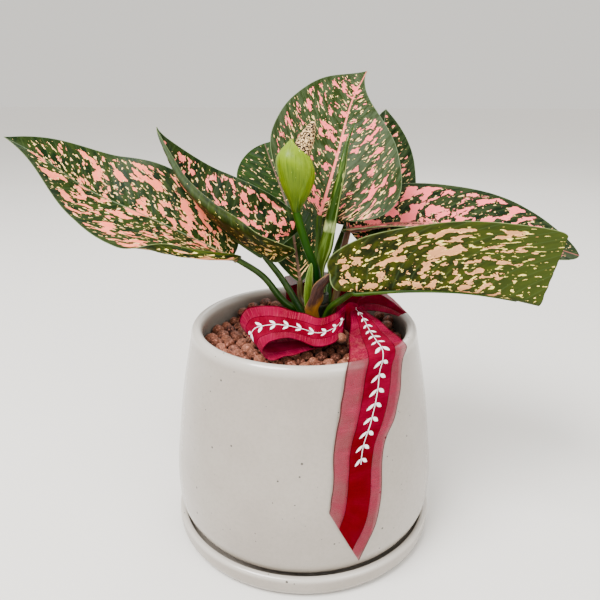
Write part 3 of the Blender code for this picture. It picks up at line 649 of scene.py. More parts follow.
def spathe_skin():
    """Yellow-green spathe: darker at its foot, finely ribbed, with pale flecks."""
    sh = Shading("spathe_skin")
    around, level = sh.uv("edge")
    ribs = sh.noise_on(around, 26.0, level, 2.6, 4.0, detail=3, roughness=0.6)
    cloud = sh.noise_on(around, 5.0, level, 5.0, 9.0, detail=2)
    colour = sh.over("#3C5E00", "#84A000", level, 0.0, 0.45)
    colour = sh.over(colour, "#A6BE1C", level, 0.45, 0.9, 0.0, 0.8)
    colour = sh.over(colour, "#7C9800", cloud, 0.4, 0.7, 0.0, 0.45)
    colour = sh.over(colour, "#B8C83C", ribs, 0.52, 0.72, 0.0, 0.35)
    colour = sh.over(colour, "#4E7400", ribs, 0.47, 0.34, 0.0, 0.5)
    fleck = sh.noise_on(around, 30.0, level, 14.0, 1.0, detail=1)
    colour = sh.mix(sh.mul(sh.step(fleck, 0.74, 0.77), sh.step(level, 0.3, 0.6, 0.2, 0.8)), colour, "#DCE890")
    sh.bump(ribs, 0.22)
    return sh.finish(colour, sh.step(ribs, 0.3, 0.7, 0.32, 0.44), Specular_IOR_Level=0.15)


def bud_stalk_skin():
    """The flower stalk's green."""
    sh = Shading("bud_stalk_skin")
    around, t = sh.uv("edge")
    streak = sh.noise_on(around, 4.0, t, 4.0, 6.0, detail=3)
    colour = sh.over("#2A4C00", "#3E6600", t, 0.3, 1.0)
    colour = sh.over(colour, "#4E7410", streak, 0.45, 0.7, 0.0, 0.45)
    sh.bump(streak, 0.2)
    return sh.finish(colour, 0.4, Specular_IOR_Level=0.08)


def spadix_skin():
    """A fine cream net with a dark pit in each mesh."""
    sh = Shading("spadix_skin")
    place = sh.place()
    cell = sh.cells(place, 1.15)
    wear = sh.noise(place, 0.6, 2, 0.6)
    distance = sh.add(cell.outputs["Distance"], sh.step(wear, 0.3, 0.7, -0.08, 0.08))
    pit = sh.step(distance, 0.40, 0.52, 1.0, 0.0)
    colour = sh.mix(wear, "#DDBA96", "#F6E6C8")
    colour = sh.over(colour, "#B0805E", distance, 0.50, 0.62, 0.6, 0.0)
    colour = sh.mix(pit, colour, "#200C04")
    sh.bump(sh.step(distance, 0.35, 0.62), 0.8)
    return sh.finish(colour, sh.step(wear, 0.3, 0.7, 0.55, 0.75), Specular_IOR_Level=0.2)


def rolled_leaf_skin():
    """The rolled new leaf: a pale sheath, a paler joint, and a green blade streaked along its length."""
    sh = Shading("rolled_leaf_skin")
    around, t = sh.uv("edge")
    streak = sh.noise_on(around, 2.2, t, 5.0, 3.0, detail=3, roughness=0.65)
    patch = sh.noise_on(around, 1.2, t, 9.0, 12.0, detail=3, roughness=0.6)
    blade = sh.step(t, 0.38, 0.44)
    colour = sh.mix(blade, "#5E7C14", "#446424")
    colour = sh.over(colour, "#93AE54", streak, 0.50, 0.66, 0.0, 0.7)
    colour = sh.over(colour, "#24480A", streak, 0.44, 0.34, 0.0, 0.6)
    joint = sh.mul(sh.step(t, 0.37, 0.39), sh.step(t, 0.41, 0.46, 1.0, 0.0))
    colour = sh.mix(sh.mul(joint, sh.step(patch, 0.40, 0.55, 0.35, 1.0)), colour, "#D6DDB0")
    colour = sh.mix(sh.mul(sh.step(patch, 0.60, 0.63, 0.0, 0.8), blade), colour, "#DADDB0")
    # Painted highlight along the free edge that winds up the roll
    edge = sh.step(sh.size(around), 0.04, 0.14, 0.85, 0.0)
    colour = sh.mix(edge, colour, "#CBD69A")
    sh.bump(streak, 0.3)
    return sh.finish(colour, sh.step(streak, 0.3, 0.7, 0.32, 0.45), Specular_IOR_Level=0.15)


def bract_skin(name, dark, light, pale, roughness, foot=None):
    """A bract: finely streaked along its length, with a foot of another colour where one is named."""
    sh = Shading(name)
    s, d = sh.uv("veins")
    streak = sh.noise_on(s, 0.12, d, 1.8, 5.0, detail=4, roughness=0.65)
    colour = sh.over(dark, light, streak, 0.32, 0.55)
    if foot:
        cloud = sh.noise_on(s, 0.16, d, 0.22, 8.0, detail=3, roughness=0.6)
        place = sh.add(sh.mul_add(d, 1.3, s), sh.mul(cloud, 16.0))
        colour = sh.over(colour, foot, place, 17.0, 26.0, 0.9, 0.0)
    colour = sh.over(colour, pale, streak, 0.56, 0.74)
    margin, _ = sh.uv("edge")
    colour = sh.over(colour, pale, margin, 0.15, 0.6, 0.8, 0.0)
    sh.bump(streak, 0.35)
    return sh.finish(colour, roughness)


def ribbon_cloth(name, printed=0.0, sheerness=1.0):
    """Ribbon: a satin middle with a leafy row, sheer woven margins, and selvedge threads."""
    sh = Shading(name)
    v, along = sh.uv("edge")
    width, _ = sh.uv("veins")
    starts, ends = SATIN
    satin = sh.mul(sh.step(v, starts - 0.004, starts + 0.004), sh.step(v, ends - 0.004, ends + 0.004, 1, 0))
    threads = sh.math("SINE", sh.mul(along, 2 * math.pi / THREAD))
    weave = sh.mul(threads, sh.math("SINE", sh.mul(width, 2 * math.pi / THREAD)))
    cloud = sh.noise_on(width, 0.05, along, 0.09, 3.0, detail=3)
    ribs = sh.noise_on(width, 0.06, along, 2.4, 8.0, detail=3, roughness=0.6)
    silk = sh.over(CRIMSON, "#B0004A", cloud, 0.3, 0.7)
    silk = sh.over(silk, "#7E0010", along, 70.0, 130.0, 0.0, 0.7)
    silk = sh.over(silk, "#6A0020", ribs, 0.4, 0.7, 0.0, 0.35)
    sheer = sh.over("#A80A44", "#BC2058", cloud, 0.35, 0.7)
    sheer = sh.over(sheer, "#DA6C8A", ribs, 0.50, 0.72, 0.0, 0.5)
    colour = sh.mix(satin, sheer, silk)
    edges = sh.math("MINIMUM", sh.size(sh.add(v, -starts)), sh.size(sh.add(v, -ends)))
    outer = sh.math("MINIMUM", v, sh.sub(1.0, v))
    thick = sh.step(edges, 0.003, 0.010, 1.0, 0.0), sh.step(outer, 0.018, 0.030, 1.0, 0.0)
    selvedge = sh.math("MAXIMUM", *thick)
    colour = sh.mix(sh.mul(selvedge, 0.85), colour, "#560420")
    if printed:
        y = sh.size(sh.mul(sh.add(v, -(starts + ends) / 2), CLOTH_WIDTH))
        x = sh.add(sh.math("MODULO", sh.add(along, 1000 * PRINT_STEP), PRINT_STEP), -0.42 * PRINT_STEP)
        p = sh.mul_add(x, 0.62, sh.mul(sh.add(y, -2.35), 0.78))
        q = sh.sub(sh.mul(sh.add(y, -2.35), 0.62), sh.mul(x, 0.78))
        taper = sh.sub(1.0, sh.math("POWER", sh.mul(p, 1 / 2.5), 2.0))
        blade = sh.sub(sh.size(q), sh.mul(taper, 0.95))
        leafy = sh.step(blade, -0.10, 0.05, 1.0, 0.0)
        vine = sh.step(y, 0.14, 0.30, 1.0, 0.0)
        print_mask = sh.mul(sh.math("MAXIMUM", leafy, vine), satin)
        print_mask = sh.mul(print_mask, sh.math("LESS_THAN", along, printed))
        colour = sh.mix(sh.mul(print_mask, 0.92), colour, "#FAF2F2")
    cover = sh.step(cloud, 0.3, 0.7, 0.62, 0.74)
    cover = sh.mul_add(weave, 0.07 * sheerness, sh.mix_number(sheerness, 1.0, cover))
    solid = sh.math("MAXIMUM", satin, sh.mul(selvedge, 0.9))
    alpha = sh.math("MAXIMUM", cover, solid)
    sh.plug(sh.shader.inputs["Alpha"], alpha)
    sh.bump(sh.add(sh.mul(ribs, 0.5), sh.mul(threads, 0.10)), 0.22)
    rough = sh.step(satin, 0.0, 1.0, 0.55, 0.36)
    return sh.finish(colour, rough, Specular_IOR_Level=0.0, Sheen_Weight=0.12, Sheen_Roughness=0.4,
                     Sheen_Tint=(1.0, 0.12, 0.3, 1.0))


# ---------------------------------------------------------------- meshes

def place(name, data):
    """A new object in the scene."""
    made = bpy.data.objects.new(name, data)
    bpy.context.scene.collection.objects.link(made)
    return made


def make(name, parts, materials, replaces=(), sharp=60):
    """An object on the root body from parts of (points, faces, material's number, UV maps by point)."""
    faces, numbers, start = [], [], 0
    for points, part_faces, number, _ in parts:
        faces += [tuple(start + i for i in face) for face in part_faces]
        numbers += number if isinstance(number, list) else [number] * len(part_faces)
        start += len(points)
    mesh = bpy.data.meshes.new(name)
    mesh.from_pydata((np.concatenate([part[0] for part in parts]) * MM).tolist(), [], faces)
    mesh.polygons.foreach_set("material_index", numbers)
    corners = np.zeros(len(mesh.loops), np.int32)
    mesh.loops.foreach_get("vertex_index", corners)
    for layer in ("veins", "edge"):
        values = np.concatenate([part[3].get(layer, np.zeros((len(part[0]), 2))) for part in parts])
        mesh.uv_layers.new(name=layer).data.foreach_set("uv", values[corners].ravel())
    mesh.shade_smooth()
    mesh.set_sharp_from_angle(angle=math.radians(sharp))
    for item in materials:
        mesh.materials.append(item)
    made = place(name, mesh)
    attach(made, "root")
    if replaces:
        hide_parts(*replaces)
    return made


def outline(t, half):
    """The width of a half blade along the midrib."""
    width, widening, narrowing = half
    widest = widening / (widening + narrowing)
    return width * t**widening * (1 - t) ** narrowing / (widest**widening * (1 - widest) ** narrowing)


def blade_grid(midrib, halves, face, right, left, t, cols, curl=(0, 0), lean=(0, 0, 1), waves=(0.8, 2),
               roll=None):
    """The middle surface of a blade with its vein coordinates and its distance from the margin."""
    spine = smooth(midrib, t)
    along = np.concatenate([[0.0], np.cumsum(np.linalg.norm(np.diff(spine, axis=0), axis=1))])[:, None]
    forward = unit(np.gradient(spine, axis=0))
    up = smooth(face, t, np.array([0.0, 1.0]))
    up = unit(up - forward * np.sum(up * forward, axis=1, keepdims=True))
    side = np.cross(forward, up)
    places = np.linspace(0, 1, cols)
    fine = np.linspace(0, 1, BLADE_STEPS + 1)
    middle = (fine[1:] + fine[:-1]) / 2
    row = t[:, None]
    sheets, veins, edges = [], [], []
    for sign, half, rise, bend in ((-1, halves[1], left, curl[1]), (1, halves[0], right, curl[0])):
        reach = np.maximum(outline(row, half), TIP_WIDTH)
        lift = np.radians(smooth(list(rise), t))[:, None] * np.clip(row / 0.02, 0, 1)
        eased = np.clip(middle * reach / 5.0, 0, 1)
        angle = lift * (3 * eased**2 - 2 * eased**3) + math.radians(bend) * (middle - 0.3)
        if roll and sign < 0:
            start, full, fade, end, inside, turn = roll
            window = ease(row, start, full) * (1 - ease(row, fade, end))
            angle = angle + math.radians(turn) * window * ease(middle, inside, 1.0)
        sums = [np.cumsum(steps, axis=1) * reach / BLADE_STEPS for steps in (np.cos(angle), np.sin(angle))]
        across, height = (np.array([np.interp(places, fine, [0, *run]) for run in runs]) for runs in sums)
        wave = waves[0] * places**2 * np.sin(2 * math.pi * waves[1] * row + 1.5 * sign) * reach / half[0]
        tilt = angle[:, -1:]
        out = across - wave * np.sin(tilt)
        lean_now = lean[0] + (lean[1] - lean[0]) * row
        sheets.append(spine[:, None] + (out * sign)[..., None] * side[:, None]
                      + (height + wave * np.cos(tilt))[..., None] * up[:, None]
                      + (places ** lean[2] * reach * lean_now)[..., None] * forward[:, None])
        away = places * reach
        veins.append(np.stack([along - VEIN_RUN * away - VEIN_BOW * away**2, sign * away], axis=2))
        edges.append(np.stack([reach - away, np.broadcast_to(row, away.shape)], axis=2))
    joined = [np.concatenate([pair[0][:, :0:-1], pair[1]], axis=1) for pair in (sheets, veins, edges)]
    return joined, spine, up


def blade_parts(grid, vein, edge, thickness, numbers=(0, 1), relief=1.0):
    """The upper side, the under side and the rim of a blade over its middle surface."""
    rows, cols = grid.shape[:2]
    normals = -unit(np.cross(np.gradient(grid, axis=0), np.gradient(grid, axis=1)))
    away, margin, t = np.abs(vein[..., 1]), edge[..., 0], edge[..., 1]
    fade = ease(away, 1.5, 7) * ease(margin, 0.5, 6)
    quilt = 0.20 * fade * np.cos(2 * math.pi * vein[..., 0] / VEIN_STEP + math.pi)
    groove = -0.55 * np.exp(-(away / 1.5) ** 2) * (1 - 0.6 * t) * ease(t, 0, 0.06) * ease(margin, 0.3, 2)
    body = grid + normals * ((quilt + groove) * relief)[..., None]
    depth = (thickness * (0.5 + 0.5 * ease(margin, 0, 2.5)))[..., None] / 2
    upper, lower = (body + normals * depth).reshape(-1, 3), (body - normals * depth).reshape(-1, 3)
    maps = {"veins": vein.reshape(-1, 2), "edge": edge.reshape(-1, 2)}
    rim = list(range(cols)) + [i * cols + cols - 1 for i in range(1, rows)]
    rim += [(rows - 1) * cols + j for j in range(cols - 2, -1, -1)]
    rim += [i * cols for i in range(rows - 2, 0, -1)]
    n = len(rim)
    rim_faces = [(i, (i + 1) % n, n + (i + 1) % n, n + i) for i in range(n)]
    return [(upper, grid_faces(rows, cols, flip=True), numbers[0], maps),
            (lower, grid_faces(rows, cols), numbers[1], maps),
            (np.concatenate([upper[rim], lower[rim]]), rim_faces, numbers[1],
             {key: np.concatenate([value[rim], value[rim]]) for key, value in maps.items()})]


def rod(path, radii, sides, number, groove=0.0, hollow_up=None):
    """A round rod along a path, flattened on its upper side where asked."""
    ways = ways_out(path, full_turn(sides))
    radii = np.asarray(radii, float)[:, None]
    if hollow_up is not None:
        facing = np.clip(np.sum(ways * hollow_up[:, None], axis=2), 0, 1)
        radii = radii * (1 - groove * facing**3)
    around = np.abs(np.linspace(-1, 1, sides, endpoint=False))
    return tube(path[:, None] + ways * radii[..., None], {"edge": net(around, spread(path))}, number)


def leaf(name):
    """A leaf: its blade with both skins, and its stalk, which runs on as a keel under the midrib."""
    shape, look = LEAVES[name], {**COMMON_LOOK, **LOOKS[name]}
    turn = np.linspace(0, 1, LEAF_ROWS)
    t = 0.35 * turn + 0.65 * (0.5 - 0.5 * np.cos(math.pi * turn))
    blade = {key: value for key, value in shape.items() if key not in ("foot", "petiole")}
    (grid, vein, edge), spine, up = blade_grid(**blade, t=t, cols=LEAF_COLS, roll=ROLLS.get(name))
    parts = blade_parts(grid, vein, edge, BLADE_THICKNESS)

    way = [foot_point(shape["foot"]), foot_point(shape["foot"], FOOT_Z + 4), *shape["petiole"],
           shape["midrib"][0]]
    places = np.linspace(0, 1, 30)
    under = slice(2, np.searchsorted(t, 0.9), 3)
    keel_radii = np.linspace(1.55, 0.35, len(spine[under]))
    keel = spine[under] - up[under] * (0.9 * keel_radii + 0.35)[:, None]
    radii = np.concatenate([np.interp(places, [0, 0.12, 0.35, 1], [2.9, 2.6, 2.3, 1.9]), keel_radii])
    tops = np.concatenate([np.tile(up[0], (len(places), 1)), up[under]])
    parts.append(rod(np.concatenate([smooth(way, places), keel]), radii, 14, 2, 0.22, unit(tops)))
    materials = [leaf_skin(name + "_upper", look, False), leaf_skin(name + "_under", look, True),
                 stalk_skin(name + "_stalk", *look["stalk"])]
    make(name + "_fine", parts, materials, [name])


def turned(profile):
    """The points and faces of a (radius, height) outline turned round the Z axis."""
    radius, height = np.array(profile, float).T
    points = np.array([np.stack([radius * math.cos(a), radius * math.sin(a), height], axis=1)
                       for a in full_turn(TURNED_SIDES)])
    count = len(profile)
    faces = []
    for i in range(TURNED_SIDES):
        for j in range(count):
            a, b, k = i * count, (i + 1) % TURNED_SIDES * count, (j + 1) % count
            faces.append((a + j, b + j, b + k, a + k))
    return points.reshape(-1, 3), faces


def pot_and_saucer():
    """The glazed pot with its rolled lip, and its saucer."""
    skins = [glaze(), bare_clay()]
    lip, quarter = POT_WALL / 2, math.pi / 2
    outside = smooth(np.array([(r, z) for z, r in POT_SIDE[1:]]), np.linspace(0, 1, 70)).tolist()
    top = arc(POT_RIM_RADIUS - lip, POT_HEIGHT - POT_LIP, lip, POT_LIP, 0.12, math.pi - 0.1, 22)
    inside = [(pot_radius(z) - POT_WALL, z) for z in (126.0, 118.0, 107.0, 86.0, 64.0, 42.0, 28.0, 19.0)]
    base = POT_FOOT_Z + 7.0
    floor = [(POT_FOOT_RADIUS + 4, base + 1.2), (POT_FOOT_RADIUS - 4, base), (6.0, base)]
    foot = [(6.0, POT_FOOT_Z), (POT_FOOT_RADIUS - 3.5, POT_FOOT_Z), (POT_FOOT_RADIUS, POT_FOOT_Z),
            (POT_FOOT_RADIUS + 3.4, POT_FOOT_Z + 0.5)]
    profile = foot + outside + top + inside + floor
    numbers = ([1] * 3 + [0] * (len(profile) - 3)) * TURNED_SIDES
    make("pot_fine", [(*turned(profile), numbers, {})], skins, ["pot"])

    r, inner, h, disc = SAUCER_RADIUS, SAUCER_RADIUS - SAUCER_WALL, SAUCER_HEIGHT, 30
    heel = arc(r - 6, 6.5, 6, 6.5, -quarter, 0, 12)
    bead = arc(r - 1.9, h - 1.9, 1.9, 1.9, 0, quarter, 8)
    lip_in = arc(inner + 1.4, h - 1.4, 1.4, 1.4, quarter + 0.2, math.pi, 7)
    profile = [(disc, 0)] + heel + bead + lip_in + [
        (inner - 0.6, SAUCER_FLOOR + 3), (inner - 1.4, SAUCER_FLOOR + 1), (inner - 3.5, SAUCER_FLOOR),
        (disc, SAUCER_FLOOR)]
    numbers = ([1] + [0] * (len(profile) - 1)) * TURNED_SIDES
    face = tuple(range(TURNED_SIDES))
    parts = [(*turned(profile), numbers, {}), (ring(disc, 0, TURNED_SIDES), [face[::-1]], 1, {}),
             (ring(disc, SAUCER_FLOOR, TURNED_SIDES), [face], 0, {})]
    make("saucer_fine", parts, skins, ["saucer"])


def bed_height(x, y):
    """The height of the hollows between the pebbles."""
    return BED_Z + BED_MOUND * math.exp(-((x - STEM_X) ** 2 + (y - STEM_Y) ** 2) / 26.0**2)


def settle(spots, radii, limit, rounds=60):
    """Pushes round spots apart until they hardly overlap, inside a circle and clear of the cane."""
    spots = np.array(spots, float)
    stem = np.array([STEM_X, STEM_Y])
    for _ in range(rounds):
        gap = spots[:, None] - spots[None]
        far = np.linalg.norm(gap, axis=2) + np.eye(len(spots)) * 1000
        need = (radii[:, None] + radii[None]) * 0.99
        push = np.clip(need - far, 0, None) / far * 0.45
        spots += np.sum(gap * push[..., None], axis=1)
        out = np.linalg.norm(spots, axis=1)
        spots *= np.minimum(1, (limit - radii) / np.maximum(out, 1e-6))[:, None]
        from_stem = spots - stem
        away = np.linalg.norm(from_stem, axis=1)
        near = away < STEM_RADIUS + radii + 0.5
        clear = (STEM_RADIUS + radii[near] + 0.6)[:, None]
        spots[near] = stem + from_stem[near] / away[near][:, None] * clear
    return spots


def ball(level):
    """Points and faces of a unit icosphere."""
    shell = bmesh.new()
    bmesh.ops.create_icosphere(shell, subdivisions=level, radius=1.0)
    points = np.array([v.co[:] for v in shell.verts])
    faces = [tuple(v.index for v in f.verts) for f in shell.faces]
    shell.free()
    return points, faces


def pebble(rng, unit_ball, centre, radius):
    """A lumpy pebble."""
    points, faces = unit_ball
    angle = rng.uniform(0, 6.28)
    axis = Vector((rng.gauss(0, 1), rng.gauss(0, 1), rng.gauss(0, 1) + 0.01))
    turn = np.array(Matrix.Rotation(angle, 3, axis))
    squash = np.array([rng.uniform(0.9, 1.08), rng.uniform(0.92, 1.05), rng.uniform(0.84, 1.0)])
    shift = Vector((rng.uniform(0, 50), rng.uniform(0, 50), rng.uniform(0, 50)))
    lumps = np.array([noise.noise(Vector(p) * 1.5 + shift) * 0.10 + noise.noise(Vector(p) * 4 + shift) * 0.05
                      for p in points])
    shaped = (points * (1 + lumps)[:, None] * squash) @ turn.T * radius + np.asarray(centre)
    tone = np.tile([rng.random(), rng.random()], (len(points), 1))
    # Each point's height on the pebble, which the clay uses for painted shade on its lower side
    level = np.stack([(shaped[:, 2] - centre[2]) / radius, np.zeros(len(points))], axis=1)
    return shaped, faces, 0, {"edge": tone, "veins": level}


def pebbles_and_soil():
    """Dark soil under two layers of clay pebbles."""
    rng = random.Random(5)
    fine_ball, plain_ball = ball(3), ball(2)
    parts = []
    for layer, (spacing, drop) in enumerate(PEBBLE_LAYERS):
        spots, radii = [], []
        row_step = spacing * 0.866
        rows = int(BED_REACH / row_step) + 1
        for i in range(-rows, rows + 1):
            for j in range(-9, 10):
                x = (j + 0.5 * (i % 2) + 0.3 * layer) * spacing + rng.uniform(-PEBBLE_SCATTER, PEBBLE_SCATTER)
                y = i * row_step + rng.uniform(-PEBBLE_SCATTER, PEBBLE_SCATTER)
                clear = math.hypot(x - STEM_X, y - STEM_Y) > STEM_RADIUS + 2
                if clear and math.hypot(x, y) < BED_REACH:
                    spots.append((x, y))
                    radii.append(rng.uniform(*PEBBLE_RADII))
        radii = np.array(radii)
        spots = settle(spots, radii, pot_radius(BED_Z) - POT_WALL - 0.3)
        for (x, y), r in zip(spots, radii):
            z = bed_height(x, y) + PEBBLE_HEIGHT - r - drop + rng.uniform(-1.3, 0.5)
            parts.append(pebble(rng, plain_ball if layer else fine_ball, (x, y, z), r))
    for x, y, z, r in LOOSE_PEBBLES:
        parts.append(pebble(rng, fine_ball, (x, y, z), r))
    points = np.array([ring(min(r, pot_radius(max(z, 14)) - 7.0), z, SOIL_SIDES) for r, z in SOIL])
    for spot in points[:3].reshape(-1, 3):
        spot[2] += noise.noise(Vector(spot) * 0.15) * 1.2
    soil = (points.reshape(-1, 3), grid_faces(len(SOIL), SOIL_SIDES, closed=True, flip=True), 1, {})
    make("pebble_bed", parts + [soil], [pebble_clay(), dark_soil()], ["growing_medium"], sharp=80)


def cane():
    """The cane with ringed leaf scars."""
    rows, sides = 60, 32
    z = np.linspace(STEM_FOOT_Z, STEM_TOP[2], rows)
    radii = STEM_RADIUS * np.interp(z, [STEM_FOOT_Z, 134, 142, 147, 150], [1, 1, 0.96, 0.88, 0.72])
    radii = radii * (1 + 0.03 * np.cos(2 * math.pi * z / 7.2))
    points = np.array([cane_axis(level) + ring(r, 0, sides) for level, r in zip(z, radii)])
    make("cane_fine", [tube(points, {"edge": net(full_turn(sides), z)})], [cane_skin()], ["stem"])


def spathe():
    """The flower stalk and the spathe, wrapped round with its free edge outside."""
    sides = 72
    parts = [rod(smooth(BUD_STALK, np.linspace(0, 1, 34)), np.linspace(2.6, 2.3, 34), 16, 1)]
    levels = np.linspace(0, 1, 46)
    around = full_turn(sides)
    hooded = 0.5 - 0.5 * np.cos(around - math.radians(SPATHE_OPEN_TOWARDS))
    height = SPATHE_LOW + (SPATHE_HIGH - SPATHE_LOW) * hooded**0.9
    radii = smooth(SPATHE_RADII, levels)

    def wrap(level, radius, wall):
        """The ring of points at a level, lapped over itself and closing towards the hood."""
        lap = (around - math.radians(-62) - 0.9 * (level - 0.3)) % (2 * math.pi)
        fold = 0.55 * ease(level, 0.04, 0.2) * (1 - ease(lap, 0.0, 3.2)) * ease(lap, 0.0, 0.05)
        closing = 0.86 * max(0.0, (level - 0.66) / 0.34) ** 2.6
        rolled = radius * (1 - closing * hooded**2) - wall + (0 if wall else fold)
        rolled += 0.5 * max(0.0, (level - 0.93) / 0.07) * (0.4 if wall else 1)
        x, y, z = SPATHE_FOOT
        return np.stack([x - 0.8 * level + rolled * np.cos(around), y - 0.8 * level + rolled * np.sin(around),
                         z + level * height], axis=1)

    outer = [wrap(level, radius, 0.0) for level, radius in zip(levels, radii)]
    inner = [wrap(level, radius, 0.9) for level, radius in zip(levels[::-1], radii[::-1]) if level > 0.2]
    points = np.array(outer + inner)
    rows = len(points)
    faces = grid_faces(rows, sides, closed=True) + [tuple(range((rows - 1) * sides, rows * sides))]
    level_map = np.concatenate([levels, levels[::-1][: len(inner)]])
    turn = np.minimum(around, 2 * math.pi - around) / math.pi
    parts.append((points.reshape(-1, 3), faces, 0, {"edge": net(turn, level_map)}))
    make("spathe_fine", parts, [spathe_skin(), bud_stalk_skin()], ["spathe"])


def spadix():
    """The knobbly spike: rows of small knobs in a spiral."""
    t = np.linspace(0, 1, 110)
    path = smooth(SPADIX_PATH, t)
    along = spread(path)[:, None] * SPADIX_LENGTH
    angles = full_turn(84)
    knobs = np.cos(9 * angles + along * 2.6) * np.cos(9 * angles - along * 2.6)
    rough = np.array([[noise.noise(Vector((math.cos(a) * 3, math.sin(a) * 3, z * 0.8))) for a in angles]
                      for z in along[:, 0]])
    radii = smooth(SPADIX_RADII, t)[:, None] * (1 + 0.035 * knobs + 0.04 * rough)
    points = path[:, None] + radii[..., None] * ways_out(path, angles)
    make("spadix_fine", [tube(points, {})], [spadix_skin()], ["spadix"])


def new_leaf():
    """The rolled new leaf, with its free edge winding up it."""
    t = np.linspace(0, 1, 100)[:, None]
    path = smooth(NEW_LEAF_PATH, t[:, 0])
    angles = full_turn(40)
    lap = (angles - (3.6 + 1.3 * t)) % (2 * math.pi)
    step = 1 + 0.22 * (1 - ease(lap, 0.0, 4.0)) * ease(lap, 0.0, 0.18) * ease(t, 0.02, 0.2)
    radii = smooth(NEW_LEAF_RADII, t[:, 0])[:, None] * (step - 0.06)
    points = path[:, None] + radii[..., None] * ways_out(path, angles)
    maps = np.stack([np.where(lap > math.pi, lap - 2 * math.pi, lap), np.broadcast_to(t, lap.shape)], axis=2)
    parts = [tube(points, {"edge": maps.reshape(-1, 2)})]
    make("leaf_new_fine", parts, [rolled_leaf_skin()], ["leaf_new"])


def bracts():
    """The pale green bract and the dry brown one."""
    t = np.linspace(0, 1, 50)
    shapes = {
        "bract_green": (dict(midrib=[(3.2, 0.8, 134), (2.2, -1.2, 147), (2.8, -3.2, 158), (4.6, -5.0, 172)],
                             halves=((2.4, 0.7, 0.6), (2.4, 0.7, 0.6)), face=[(-0.4, 1, 0.1), (-0.3, 1, 0.1)],
                             right=(30, 30, 20), left=(30, 30, 20), waves=(0, 1)),
                        bract_skin("bract_green_skin", "#5E8A0C", "#86A82C", "#B8CC70", 0.42)),
        "bract_brown": (dict(midrib=[(5.6, 0.6, 132), (5.6, -4.6, 144), (9, -7.2, 156), (16, -8.5, 167)],
                             halves=((4.6, 0.3, 0.5), (5.6, 0.3, 0.5)), face=[(0, 1, 0.1), (-0.2, 1, 0.3)],
                             right=(35, 40, 40), left=(35, 40, 40), curl=(40, 50), waves=(1.0, 2)),
                        bract_skin("bract_brown_skin", "#2A1204", "#5A3408", "#B88A4C", 0.6, "#C08C10"))}
    for name, (shape, skin) in shapes.items():
        (grid, vein, edge), _, _ = blade_grid(**shape, t=t, cols=10)
        make(name + "_fine", blade_parts(grid, vein, edge, 0.6, (0, 0), 0.3), [skin], [name])


def strip(stations, rows, cols):
    """A grid along stations of (one edge, other edge, bulge between them), with its outward direction."""
    near, far = (np.array([station[i] for station in stations], float) for i in (0, 1))
    places = spread((near + far) / 2)
    t = np.linspace(0, 1, rows)
    near, far = smooth(near, t, places), smooth(far, t, places)
    bulge = smooth([station[2] for station in stations], t, places)
    out = unit(np.cross(np.gradient((near + far) / 2, axis=0), far - near))
    v = np.linspace(0, 1, cols)
    grid = near[:, None] + (far - near)[:, None] * v[None, :, None]
    return grid + out[:, None] * (bulge[:, None] * (4 * v * (1 - v)))[..., None], out


def ribbon_strip(name, stations, rows, skin, seed, ripple, replaces=()):
    """One length of the ribbon as a sheet of cloth with soft creases and fluttering margins."""
    cols = 45
    grid, out = strip(stations, rows, cols)
    along = np.concatenate([[0.0], np.cumsum(np.linalg.norm(np.diff(grid[:, cols // 2], axis=0), axis=1))])
    width = np.linalg.norm(np.diff(grid, axis=1), axis=2).sum(axis=1)
    v = np.linspace(0, 1, cols)
    for i, x in enumerate(along):
        for j, y in enumerate(v * width[i]):
            crease = noise.noise(Vector((x * 0.05, y * 0.13, seed))) * 0.9
            crease += noise.noise(Vector((x * 0.14, y * 0.30, seed + 9))) * 0.35
            phase = seed + (2.0 if v[j] > 0.5 else 0)
            edge = abs(2 * v[j] - 1) ** 3 * math.sin(x / 4.1 + 2.2 * math.sin(x / 13.0) + phase)
            grid[i, j] += out[i] * ripple * (crease + 0.55 * edge + 0.35)
    widths = np.stack([np.outer(width, v).ravel(), np.repeat(width, cols)], axis=1)
    parts = [(grid.reshape(-1, 3), grid_faces(rows, cols), 0, {"edge": net(v, along), "veins": widths})]
    made = make(name, parts, [skin], replaces, sharp=180)


def ribbon():
    """The ribbon: front loop, band behind the crown, two tails and the knot."""
    looped = ribbon_cloth("ribbon_looped", 66.0, 0.5)
    printed = ribbon_cloth("ribbon_printed", 119.0)
    unprinted = ribbon_cloth("ribbon_plain")
    dense = ribbon_cloth("ribbon_dense", 0.0, 0.25)
    ribbon_strip("ribbon_loop", RIBBON_LOOP, 170, looped, 1.0, 0.55, ["ribbon"])
    ribbon_strip("ribbon_tail_front", RIBBON_TAIL_FRONT, 190, printed, 4.0, 0.5)
    ribbon_strip("ribbon_tail_side", RIBBON_TAIL_SIDE, 60, dense, 7.0, 0.5)
    ribbon_strip("ribbon_back", RIBBON_BACK, 90, dense, 12.0, 0.6)

    rows, cols = 40, 56
    angles = full_turn(cols)
    rise = np.linspace(0.12, math.pi - 0.12, rows)[:, None]
    gather = 1 + 0.06 * np.cos(7 * angles + 0.8) + 0.04 * np.cos(13 * angles)
    points = np.stack([KNOT[0] + KNOT_RADII[0] * np.sin(rise) * np.cos(angles) * gather,
                       KNOT[1] + KNOT_RADII[1] * np.sin(rise) * np.sin(angles) * gather,
                       np.broadcast_to(KNOT[2] - KNOT_RADII[2] * np.cos(rise), (rows, cols))], axis=2)
    maps = {"edge": net(np.full(cols, 0.5), np.linspace(0, 22, rows)),
            "veins": net(np.linspace(0, 40, cols), np.full(rows, 0.5))}
    knot = make("ribbon_knot", [tube(points, maps)], [unprinted])


# ---------------------------------------------------------------- scene

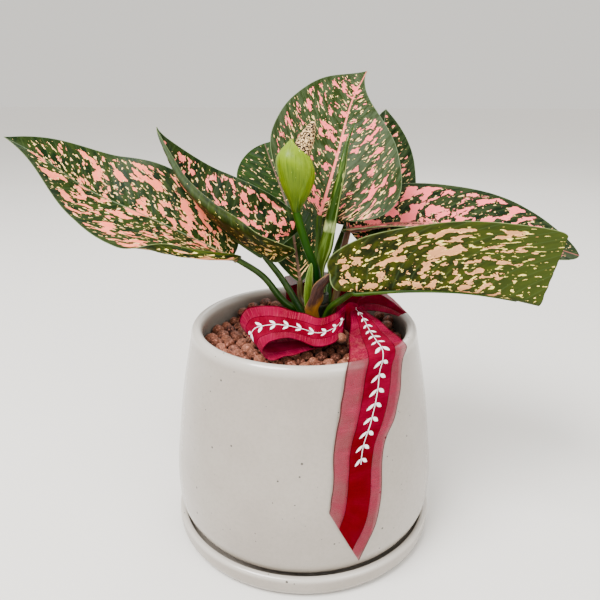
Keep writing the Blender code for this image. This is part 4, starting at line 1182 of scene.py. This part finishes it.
def stage():
    """The pale floor, the soft lights, the pale world and the camera."""
    sh = Shading("pale_floor")
    floor_mat = sh.finish(sh.mix(sh.noise(sh.place(), 0.004, 2), plain("#D6D3CD"), plain("#DAD7D2")), 0.85)
    mesh = bpy.data.meshes.new("floor")
    corners = [(x * FLOOR_REACH, y * FLOOR_REACH, 0) for x, y in ((-1, -1), (1, -1), (1, 1), (-1, 1))]
    mesh.from_pydata(corners, [], [(0, 1, 2, 3)])
    mesh.materials.append(floor_mat)
    place("floor", mesh)

    for name, (spot, aim, size, power) in LAMPS.items():
        lamp = bpy.data.lights.new(name, "AREA")
        lamp.shape, lamp.size, lamp.energy = "DISK", size, power
        holder = place(name, lamp)
        holder.location = spot
        holder.rotation_euler = (Vector((0, 0, aim)) - Vector(spot)).to_track_quat("-Z", "Y").to_euler()

    world = bpy.data.worlds.new("studio")
    world.use_nodes = True
    tree = world.node_tree
    sky = tree.nodes["Background"]
    kinds = ("TexCoord", "SeparateXYZ", "MapRange", "Mix")
    way, split, rise, tone = (tree.nodes.new("ShaderNode" + kind) for kind in kinds)
    tone.data_type = "RGBA"
    rise.inputs[1].default_value, rise.inputs[2].default_value = 0.15, 0.6
    tone.inputs[6].default_value, tone.inputs[7].default_value = plain("#C9C6C0"), plain("#EDEBE8")
    for output, socket in ((way.outputs["Generated"], split.inputs[0]), (split.outputs[2], rise.inputs[0]),
                           (rise.outputs[0], tone.inputs[0]), (tone.outputs[2], sky.inputs[0])):
        tree.links.new(output, socket)
    sky.inputs[1].default_value = ROOM_LIGHT
    bpy.context.scene.world = world

    lens = bpy.data.cameras.new("camera")
    lens.sensor_width, lens.lens, lens.clip_start = 36, LENS, 0.01
    camera = place("camera", lens)
    camera.location = CAMERA_SPOT
    flat = math.cos(CAMERA_PITCH)
    ahead = Vector((math.sin(CAMERA_YAW) * flat, math.cos(CAMERA_YAW) * flat, -math.sin(CAMERA_PITCH)))
    camera.rotation_euler = ahead.to_track_quat("-Z", "Y").to_euler()
    bpy.context.scene.camera = camera


stage()
pot_and_saucer()
pebbles_and_soil()
cane()
for leaf_name in LEAVES:
    leaf(leaf_name)
spathe()
spadix()
new_leaf()
bracts()
ribbon()
